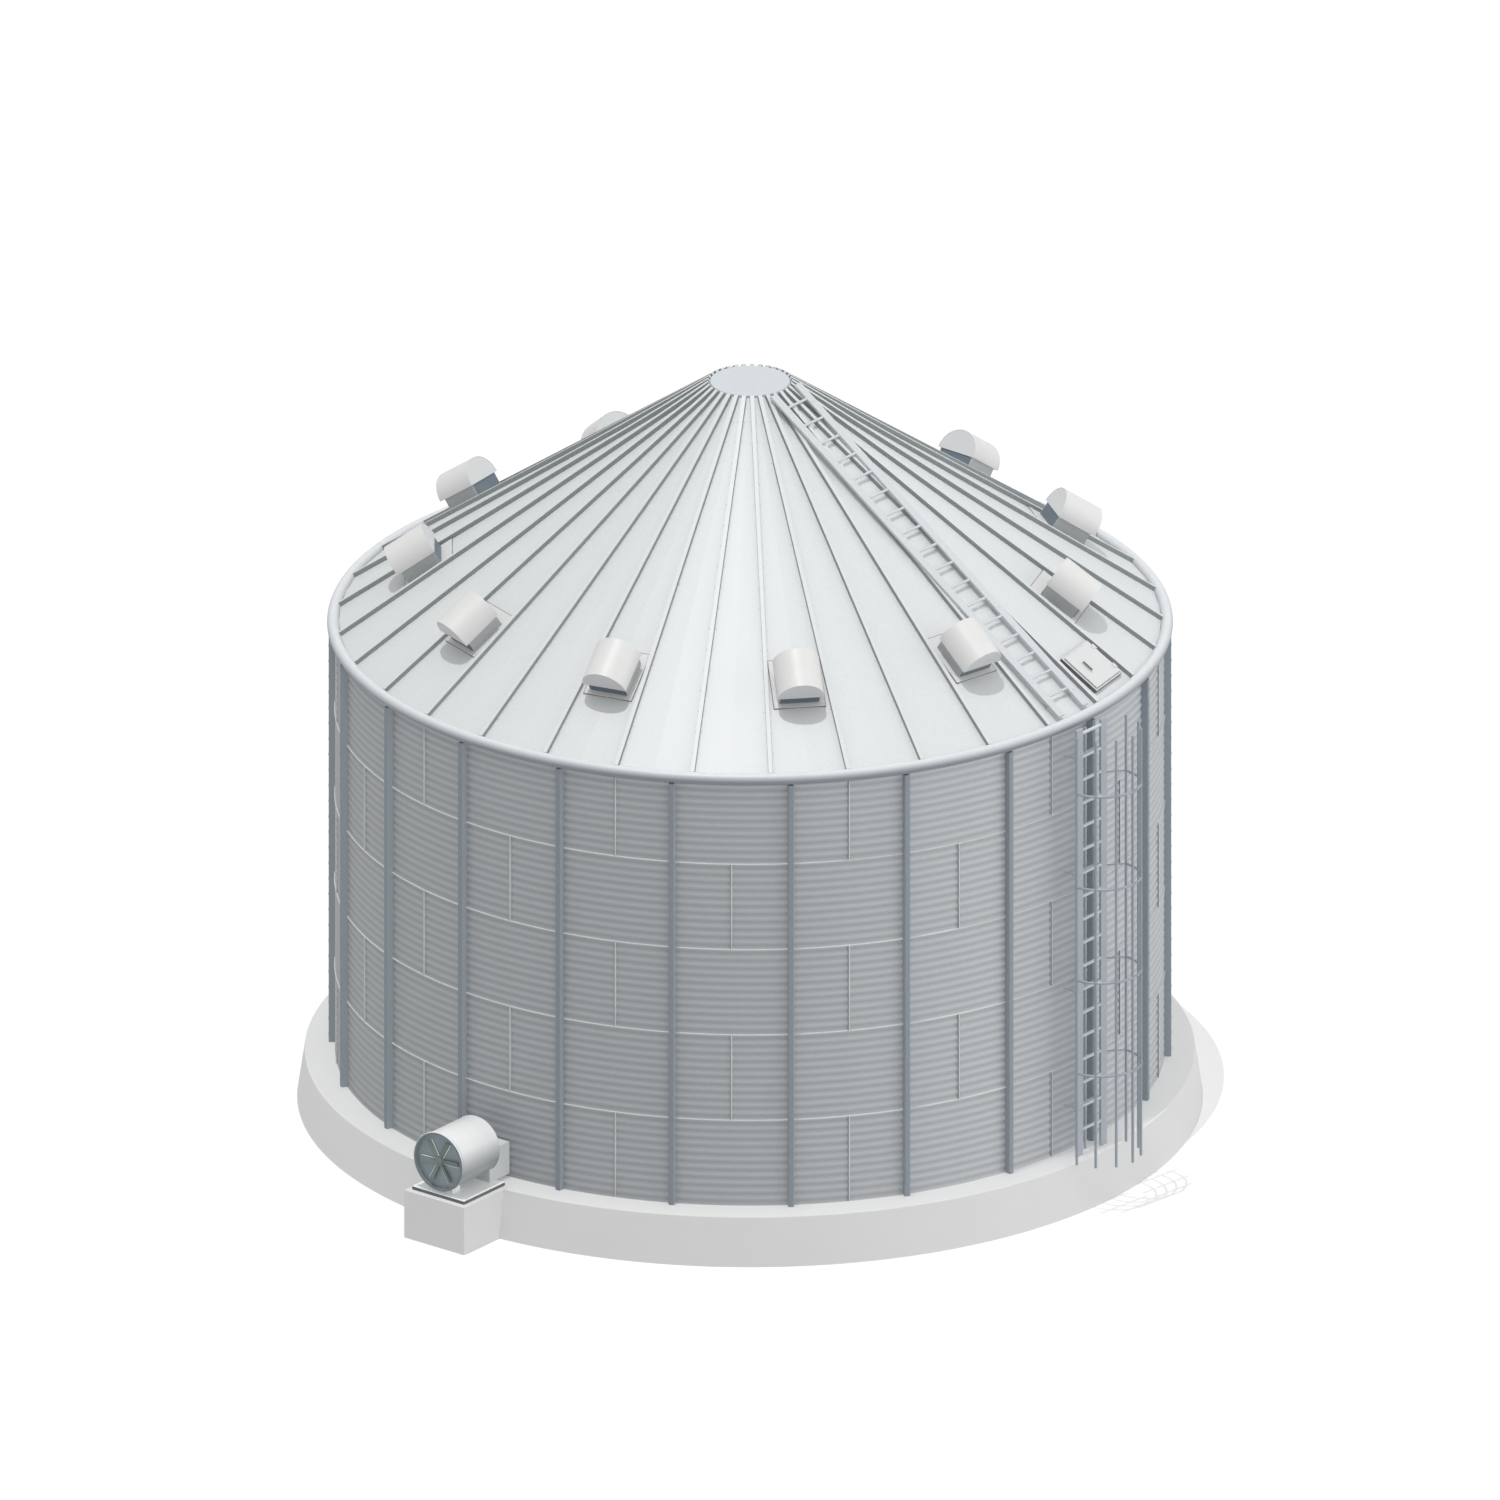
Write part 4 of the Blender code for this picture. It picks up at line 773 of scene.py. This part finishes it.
def makeHatchTrim(h):
    s, frameTop, lidTop = h["s"], h["frameTop"], h["lidTop"]
    (a, b), (lidA, lidB) = h["frameHalf"], h["lidHalf"]
    grow, inset = 0.0025, 0.014
    # dark bands round the frame and under the lid: painted shade
    shadeLine = barsRound(s, a + grow, b + grow, grow + 0.001, -0.012, frameTop - 0.003)
    lidShadeLine = barsRound(s, lidA + 0.002, lidB + 0.002, 0.012, frameTop + 0.0006, frameTop + 0.006)
    grip = boxPoints([s - 0.0925, -0.1405, lidTop + 0.0175], [s + 0.0605, -0.1175, lidTop + 0.0315], 0.003)
    a, b = a - inset, b - inset
    spots = [[s + x, y, frameTop] for x in (-a, a) for y in np.linspace(-b, b, 5)]
    spots += [[s + x, -b, frameTop] for x in np.linspace(-a, a, 5)[1:-1]]
    frameBolts = boltPoints(spots, upward, 0.005, 0.004)
    spots = [[s + k + x, lidB - 0.028, lidTop + 0.006] for k in h["hinges"] for x in (-0.016, 0.016)]
    lidBolts = boltPoints(spots, upward, 0.006, 0.004)
    for name, points, key, body in (
        ("hatchFrameShadeLine", shadeLine, "darkGripAndShade", "bin"),
        ("hatchLidShadeLine", lidShadeLine, "darkGripAndShade", "hatch_lid"),
        ("hatchGrip", grip, "darkGripAndShade", "hatch_lid"),
        ("hatchFrameBolts", frameBolts, "bolt", "bin"),
        ("hatchLidBolts", lidBolts, "bolt", "hatch_lid"),
    ):
        makePiece(name, [skin(onRoof(points, h["azimuth"]))], [key], body=body)


makeHatchTrim(hatch)

# Ladders: flat rails with cut edges, round rungs with welded collars, feet and standoffs
ladder = {
    "azimuth": 51.8,
    "railOffset": 0.235,
    "railHalf": 0.0585,
    "railDepth": 0.034,
    "edge": 0.004,
    "rung": 0.0165,
    "wallRung": 0.0205,
    "pitch": 0.3048,
    "roofBase": 0.0556,
    "roofRails": (0.6075, 6.0138),
    "roofLastRung": 5.7099,
    "roofRungs": 17,
    "feet": (  # each pair: distance down the slope, distance to each side, and height of its seat
        (0.9112, 0.2202, 0.0409),
        (2.7092, 0.2129, 0.0506),
        (4.3736, 0.235, -0.0055),
        (5.7707, 0.235, -0.0055),
    ),
    "wallRail": 5.260,
    "wallHeights": (shared["wallBottom"], 6.208),
    "wallFirstRung": 0.95,
    "wallRungs": 18,
    "guideBar": 5.170,
    "guideTop": 6.134,
    "standoffRungs": (1, 6, 11, 16),
    "wallFaces": (5.0193, 5.1062),
}


# Two rails with their middles at the offset to each side, between the first and last coordinates
def railPoints(w, low, high):
    y, half = w["railOffset"], w["railHalf"]
    lows = [[low[0], side * y - half, low[1]] for side in (-1, 1)]
    highs = [[high[0], side * y + half, high[1]] for side in (-1, 1)]
    return boxPoints(lows, highs, w["edge"])


# Rungs between the rails, with a collar where each meets its rail
def rungPoints(w, places, radius):
    inner = w["railOffset"] - w["railHalf"]
    reach, collar = np.array([0.0, inner + 0.012, 0.0]), np.array([0.0, 0.008, 0.0])
    rods = rodPoints(places - reach, places + reach, radius, 0.1)
    starts = np.concatenate([places - [0, inner, 0], places + [0, inner, 0] - collar])
    return [rods, rodPoints(starts, starts + collar, radius * 1.25)]


def makeRoofLadder(w):
    base, top = w["roofBase"], w["roofBase"] + w["railDepth"]
    start, end = w["roofRails"]
    rails = railPoints(w, (start, base), (end, top))
    s = w["roofLastRung"] - w["pitch"] * np.arange(w["roofRungs"])
    rungs = rungPoints(w, lattice(s, 0.0, base + w["railDepth"] / 2), w["rung"])
    lows, highs, spots = [], [], []
    for along, across, seat in w["feet"]:
        for y in (-across, across):
            lows.append([along - 0.03, y - 0.018, seat])
            highs.append([along + 0.03, y + 0.018, base + 0.003])
            spots.append([along, y, top])
    steel = (rails, boxPoints(lows, highs, 0.003), boltPoints(spots, upward, 0.009, 0.006), *rungs)
    skins = [skin(onRoof(points, w["azimuth"])) for points in steel]
    makePiece("roofLadder", skins, ["ladder"], replaces=["roof_ladder"])


def makeWallLadder(w):
    low, high = w["wallHeights"]
    y, bar = w["railOffset"], w["guideBar"]
    back, front = w["wallRail"] - w["railDepth"] / 2, w["wallRail"] + w["railDepth"] / 2
    rails = railPoints(w, (low, back), (high, front))[..., ::-1]
    z = w["wallFirstRung"] + w["pitch"] * np.arange(w["wallRungs"])
    rungs = rungPoints(w, lattice(w["wallRail"], 0.0, z), w["wallRung"])
    guide = boxPoints([low, -0.012, bar - 0.0155], [w["guideTop"], 0.012, bar + 0.0155], 0.003)[..., ::-1]
    arms = z[list(w["standoffRungs"])] - 0.022
    crossLow = [[bar - 0.006, -y - 0.01, h - 0.018] for h in arms]
    crossHigh = [[bar + 0.006, y + 0.01, h + 0.018] for h in arms]
    legLow, legHigh, spots = [], [], []
    for h in arms:
        for middle, face in zip((-y, y), w["wallFaces"]):
            legLow.append([face, middle - 0.004, h - 0.005])
            legHigh.append([back + 0.004, middle + 0.004, h + 0.005])
            spots.append([front, middle, h])
    bolts = boltPoints(spots, (1.0, 0.0, 0.0), 0.009, 0.006)
    steel = (rails, guide, boxPoints(crossLow, crossHigh), boxPoints(legLow, legHigh), bolts)
    skins = [(skin(placed(points, w["azimuth"])), 0) for points in steel]
    skins += [(skin(placed(points, w["azimuth"])), 1) for points in rungs]
    makePiece("wallLadder", skins, ["ladderWall", "ladder"], replaces=["wall_ladder"])


makeRoofLadder(ladder)
makeWallLadder(ladder)

# Safety cage: hoop x = centre + radius cos(t), y = radius sin(t), upright bars, arms to the ladder's rails
# and a bolt at each crossing
cage = {
    "radius": 0.483,
    "centre": 5.420,
    "bars": 7,
    "bar": 0.017,
    "hoop": 0.016,
    "firstHoop": 1.82,
    "pitch": 1.2192,
    "hoops": 4,
    "armRoot": (5.250, 5.270),
    "armHalf": 0.007,
}


def makeCage(c):
    centre, radius, hoop = c["centre"], c["radius"], c["hoop"]
    low, high = ladder["wallHeights"]
    turn = np.radians(np.linspace(-90, 90, c["bars"]))
    out = np.stack([np.cos(turn), np.sin(turn), 0 * turn], -1)
    feet = [centre, 0.0, low] + out * radius
    bars = rodPoints(feet, feet + [0.0, 0.0, high - low], c["bar"])
    heights = c["firstHoop"] + c["pitch"] * np.arange(c["hoops"])
    bend = np.radians(np.linspace(-91, 91, 61))[:, None]
    ring = fullTurn(16)
    reach = radius + hoop * np.cos(ring)
    bow = np.stack([centre + reach * np.cos(bend), reach * np.sin(bend), hoop * np.sin(ring) + 0 * bend], -1)
    hoops = bow + lattice(0.0, 0.0, heights)[:, None, None]
    inner = ladder["railOffset"] + ladder["railHalf"] + 0.0003
    near, far = c["armRoot"]
    tip = [[centre + 0.004, radius - 0.006], [centre - 0.012, radius + 0.004]]
    outline = np.array([[near, inner], [far, inner], *tip])
    arms = np.concatenate(
        [
            extruded(outline * [1, side], [h - c["armHalf"], h + c["armHalf"]])[..., [1, 2, 0]]
            for side in (-1, 1)
            for h in heights
        ]
    )
    spots = [centre, 0.0, 0.0] + out[1:-1] * (radius + c["bar"]) + lattice(0.0, 0.0, heights)[:, None]
    bolts = boltPoints(spots, np.tile(out[1:-1], (c["hoops"], 1)), 0.008, 0.006)
    skins = [skin(placed(points, ladder["azimuth"])) for points in (bars, hoops, arms, bolts)]
    makePiece("safetyCage", skins, ["cage"], replaces=["ladder_cage"])


makeCage(cage)
print("ladders made")

# Fan: everything about the fan's axis is a profile (distance along the axis, radius) turned round it
fan = {
    "azimuth": -38.45,
    "axis": 1.080,
    "back": 5.330,
    "front": 6.077,
    "radius": 0.365,
    "sheet": 0.010,
    "rim": 0.380,
    "rimLength": 0.025,
    "rimBolts": 12,
    "linerBack": 6.031,
    "plate": ((5.283, 6.080), 0.402, (shared["wallBottom"], 0.665)),  # ends, half width, heights
    "duct": ((5.0275, 5.415), 0.270, 1.083),  # ends, half width, top
    "rotor": 6.056,
    "shaftBack": 6.015,
    "shaft": 0.018,
    "blades": 6,
    "phase": 3.0,
    "tip": 0.29,
    "hub": 0.050,
    "boltCircle": 0.034,
    "chord": 0.080,
    "pitch": 24.0,
}


def onFan(points):
    return placed(points, fan["azimuth"], height=fan["axis"])


# x = distance along the axis, y = radius cos(t), z = radius sin(t)
def aboutFan(profile, steps=96):
    x, radius = np.asarray(profile, float).T
    turn = fullTurn(steps)[:, None]
    points = np.stack([x + 0 * turn, radius * np.cos(turn), radius * np.sin(turn)], -1)
    return skin(onFan(points), closed=True)


# Rectangle between two distances along the axis and two radii
def rectangle(start, end, low, high):
    return [(start, low), (start, high), (end, high), (end, low)]


# Barrel with a rounded inlet rim, a dark ring behind the rim as painted shade, a face and liner painted dark
# as shade, a seam and bolts
def makeHousing(f):
    r, front, back, rim = f["radius"], f["front"], f["back"], f["rim"]
    bore = r - f["sheet"]
    rimBack = front - f["rimLength"]
    barrel = [
        (back, 0.03),
        (back, r - 0.006),
        (back + 0.002, r - 0.002),
        (back + 0.006, r),
        (rimBack - 0.0065, r),
        (rimBack - 0.0065, r - 0.004),
        (rimBack + 0.004, r - 0.004),
        (rimBack + 0.004, bore),
        (back + f["sheet"], bore),
        (back + f["sheet"], 0.03),
    ]
    e = 0.004
    collar = [
        (rimBack, bore + 0.001),
        (rimBack, rim - e),
        (rimBack + e * 0.3, rim - e * 0.3),
        (rimBack + e, rim),
        (front - e, rim),
        (front - e * 0.3, rim - e * 0.3),
        (front, rim - e),
        (front, bore + e),
        (front - e, bore),
        (rimBack + 0.002, bore),
    ]
    # dark ring behind the rim: painted shade
    gap = rectangle(rimBack - 0.013, rimBack + 0.001, r - 0.002, r + 0.004)
    face = rectangle(front - 0.005, front + 0.0008, bore - 0.004, rim - 0.007)
    liner = rectangle(f["linerBack"], front + 0.0006, bore - 0.0015, bore + 0.001)
    seam = rectangle(back + 0.010, back + 0.022, r - 0.002, r + 0.002)
    profiles = ((barrel, 0), (collar, 0), (gap, 1), (face, 2), (liner, 2), (seam, 0))
    skins = [(aboutFan(profile), n) for profile, n in profiles]
    turn = fullTurn(f["rimBolts"]) + np.pi / f["rimBolts"]
    out = np.stack([0 * turn, np.cos(turn), np.sin(turn)], -1)
    bolts = boltPoints(out * rim + [(front + rimBack) / 2, 0, 0], out, 0.006, 0.004)
    skins.append((skin(onFan(bolts)), 0))
    makePiece("fanHousing", skins, ["fan", "darkGripAndShade", "fanRingShade"], replaces=["fan_housing"])


# Plate with its edge painted dark as shade, a top painted lighter as light where the barrel shades it, and
# bolts, and the flange and bolts of the duct
def makeFanStand(f):
    (inner, outer), half, (low, high) = f["plate"]
    # dark core as painted shade on the edge, thin top layer painted light
    core = boxPoints([inner, -half, low], [outer, half, high - 0.002])
    top = boxPoints([inner + 0.002, -half + 0.002, high - 0.0035], [outer - 0.002, half - 0.002, high], 0.001)
    spots = lattice([inner + 0.04, outer - 0.05], [-half + 0.018, half - 0.018], high)
    bolts = boltPoints(spots, upward, 0.012, 0.009)
    skins = [(skin(placed(points, f["azimuth"])), n) for points, n in ((core, 0), (top, 1), (bolts, 1))]
    makePiece("fanBasePlate", skins, ["darkGripAndShade", "plateTopPaintedLight"], replaces=["fan_base_plate"])
    (near, far), width, ductTop = f["duct"]
    reach = width + 0.006
    flange = boxPoints([high, -reach, near + 0.004], [ductTop, reach, near + 0.012], 0.001)[..., ::-1]
    spots = lattice([near + 0.06, far - 0.05], [-width, width], np.linspace(high + 0.05, ductTop - 0.04, 4))
    bolts = boltPoints(spots, spots * [0.0, 1.0, 0.0], 0.007, 0.005)
    skins = [skin(placed(points, f["azimuth"])) for points in (flange, bolts)]
    makePiece("ductTrim", skins, ["duct"])


# Blade point = hub + radius u + chord c + camber n, with c turned by the pitch about the blade's own line
def makeRotor(f):
    rotor, hub, tip = f["rotor"], f["hub"], f["tip"] - 0.02
    pitch = np.radians(f["pitch"])
    angles = np.radians(f["phase"] + 360 / f["blades"] * np.arange(f["blades"]))
    alongAxis = np.array([1.0, 0.0, 0.0])
    u = np.stack([0 * angles, np.cos(angles), np.sin(angles)], -1)
    w = np.stack([0 * angles, -np.sin(angles), np.cos(angles)], -1)
    c = np.cos(pitch) * w + np.sin(pitch) * alongAxis
    n = -np.sin(pitch) * w + np.cos(pitch) * alongAxis
    span = np.concatenate([np.linspace(hub - 0.012, tip, 10), tip + 0.02 * np.sin(np.radians([30, 60, 90]))])
    width = np.concatenate([np.linspace(0.78, 1.0, 10), [0.97, 0.85, 0.55]]) * f["chord"] / 2

    def blade(chordwise, normalwise):
        radial = u[:, None, None] * span[None, :, None, None]
        sideways = c[:, None, None] * (width[:, None] * chordwise)[None, :, :, None]
        return radial + sideways + n[:, None, None] * normalwise[None, None, :, None] + alongAxis * rotor

    k = np.linspace(-1, 1, 9)
    camber = 0.003 * (1 - k**2) - 0.0015
    body = blade(np.concatenate([k, k[::-1]]), np.concatenate([camber + 0.0012, (camber - 0.0012)[::-1]]))
    # the lip along each blade's edge takes the bright finish, a painted highlight
    highlightLip = blade(np.array([-1.02, -0.80, -0.80, -1.02]), np.array([0.0012, 0.0024, -0.0022, -0.0026]))
    front = rotor + 0.018
    nose = np.radians(np.linspace(0, 90, 7))
    profile = [(rotor - 0.018, 0.004), (rotor - 0.018, hub - 0.003), (rotor - 0.015, hub)]
    profile += [(front - 0.006 + 0.006 * np.sin(t), hub - 0.006 + 0.006 * np.cos(t)) for t in nose]
    profile += [(front, 0.022), (front + 0.0008, 0.020), (front + 0.0008, 0.004)]
    shaft = rectangle(f["shaftBack"], rotor - 0.017, 0.002, f["shaft"])
    circle = f["boltCircle"] * np.stack([0 * angles, np.cos(angles + 0.5), np.sin(angles + 0.5)], -1)
    bolts = boltPoints(circle + [front, 0, 0], alongAxis, 0.005, 0.0008)
    skins = [(skin(onFan(body)), 0), (skin(onFan(highlightLip)), 1), (skin(onFan(bolts)), 0)]
    skins += [(aboutFan(profile, 48), 0), (aboutFan(shaft, 32), 0)]
    finishes = ["blade", "bladeEdgeHighlight"]
    makePiece("fanRotor", skins, finishes, body="fan_rotor", replaces=["fan_rotor"])


makeHousing(fan)
makeFanStand(fan)
makeRotor(fan)
dress("fan_transition", "duct")
dress("fan_backplate", "fanDisc")
# the saddle takes the plate top's painted-light finish
dress("fan_saddle", "plateTopPaintedLight")
print("fan made")


# Stage: white floor, camera at the photograph's angle, a high key light that casts shadows, and soft fill
# lights that cast none. The wall's sheets take a soft light of their own in place of the key, which the
# stiffeners and lap bands take too. The foundation takes a weaker key, and the rest of its strength as a
# light that casts no shadow.
stage = {
    "floorRadius": 90.0,
    "keyDirection": (0.10, 0.10, -1.0),
    "keyStrength": 1.30,
    "keyAngle": 0.1,
    "concreteKey": 0.55,
    "sky": 0.60,
    "fillDirection": (-0.962, 0.07, -0.14),
    "fillStrength": 1.0,
    "fillAngle": 50,
    "topStrength": 0.6,
    "wallDirection": (-0.906, 0.423, 0.0),
    "wallStrength": 0.85,
    "floorColour": 0.62,
    "floorSeen": 0.52,  # the floor's colour and glow where the camera sees it
    "floorGlow": 0.42,
    "elevation": 22.273,
    "orthoScale": 18.18,
    "aimHeight": 4.527,
    "cameraDistance": 60.0,
}


# Sun lamp, turned until it shines along the direction
def makeSun(name, direction, strength, angle, shadows=True):
    light = bpy.data.lights.new(name, "SUN")
    light.energy = strength
    light.angle = np.radians(angle)
    light.use_shadow = shadows
    lamp = bpy.data.objects.new(name, light)
    direction = np.array(direction, float)
    side = np.cross(direction, [0.0, 1.0, 0.0])
    side /= np.linalg.norm(side)
    back = -direction / np.linalg.norm(direction)
    lamp.matrix_world = Matrix(np.stack([side, np.cross(back, side), back], 1).tolist()).to_4x4()
    bpy.context.scene.collection.objects.link(lamp)
    return lamp


# Light linking: the lamp reaches only the pieces named (INCLUDE), or everything but them (EXCLUDE)
def linkLamp(lamp, names, state="INCLUDE"):
    chosen = bpy.data.collections.new(lamp.name + "Reach")
    for name in names:
        chosen.objects.link(bpy.data.objects[name])
    for member in chosen.collection_objects:
        member.light_linking.link_state = state
    lamp.light_linking.receiver_collection = chosen


# Floor: the camera sees a colour and glow of their own, and the other rays the plain colour without glow
def makeFloor(s):
    turn = fullTurn(96)
    rim = np.stack([s["floorRadius"] * np.cos(turn), s["floorRadius"] * np.sin(turn), 0 * turn], -1)
    mesh = bpy.data.meshes.new("floor")
    mesh.from_pydata(rim.tolist(), [], [list(range(len(rim)))])
    floor = bpy.data.objects.new("floor", mesh)
    bpy.context.scene.collection.objects.link(floor)
    material = bpy.data.materials.new("floorWhite")
    material.use_nodes = True
    tree = material.node_tree
    shader = tree.nodes["Principled BSDF"]
    shader.inputs["Roughness"].default_value = 1.0
    shader.inputs["Specular IOR Level"].default_value = 0.0
    shader.inputs["Emission Color"].default_value = (1, 1, 1, 1)
    seen = addNode(tree, "LightPath").outputs["Is Camera Ray"]
    colour = calculate(tree, "MULTIPLY_ADD", seen, s["floorSeen"] - s["floorColour"], s["floorColour"])
    tree.links.new(colour, shader.inputs["Base Color"])
    tree.links.new(calculate(tree, "MULTIPLY", seen, s["floorGlow"]), shader.inputs["Emission Strength"])
    mesh.materials.append(material)


# Lights: an even white sky and six sun lamps
def makeLights(s):
    world = bpy.data.worlds.new("studio")
    world.use_nodes = True
    sky = world.node_tree.nodes["Background"]
    sky.inputs["Color"].default_value = (1.0, 1.0, 1.0, 1.0)
    sky.inputs["Strength"].default_value = s["sky"]
    bpy.context.scene.world = world
    sheets = [f"wallRing{number + 1}" for number in range(shared["rings"])]
    concrete = ["foundationCast"]
    down, angle = s["keyDirection"], s["keyAngle"]
    rest = s["keyStrength"] - s["concreteKey"]
    linkLamp(makeSun("key", down, s["keyStrength"], angle), sheets + concrete, "EXCLUDE")
    linkLamp(makeSun("concreteKey", down, s["concreteKey"], angle), concrete)
    linkLamp(makeSun("concreteTop", down, rest, angle, shadows=False), concrete)
    makeSun("fill", s["fillDirection"], s["fillStrength"], s["fillAngle"], shadows=False)
    makeSun("top", down, s["topStrength"], s["fillAngle"], shadows=False)
    wallFill = makeSun("wallFill", s["wallDirection"], s["wallStrength"], s["fillAngle"], shadows=False)
    linkLamp(wallFill, sheets + ["stiffeners", "lapBands"])


# Camera: back along the line of sight from a point on the bin's axis, tilted down by the elevation
def makeCamera(s):
    camera = bpy.data.cameras.new("camera")
    camera.type = "ORTHO"
    camera.ortho_scale = s["orthoScale"]
    camera.clip_end = 300
    eye = bpy.data.objects.new("camera", camera)
    tilt = np.radians(s["elevation"])
    far = s["cameraDistance"]
    eye.location = (0.0, -far * np.cos(tilt), s["aimHeight"] + far * np.sin(tilt))
    eye.rotation_euler = (np.pi / 2 - tilt, 0.0, 0.0)
    scene = bpy.context.scene
    scene.collection.objects.link(eye)
    scene.camera = eye
    scene.view_settings.view_transform = "Standard"
    scene.view_settings.look = "None"


makeFloor(stage)
makeLights(stage)
makeCamera(stage)
print("stage made")
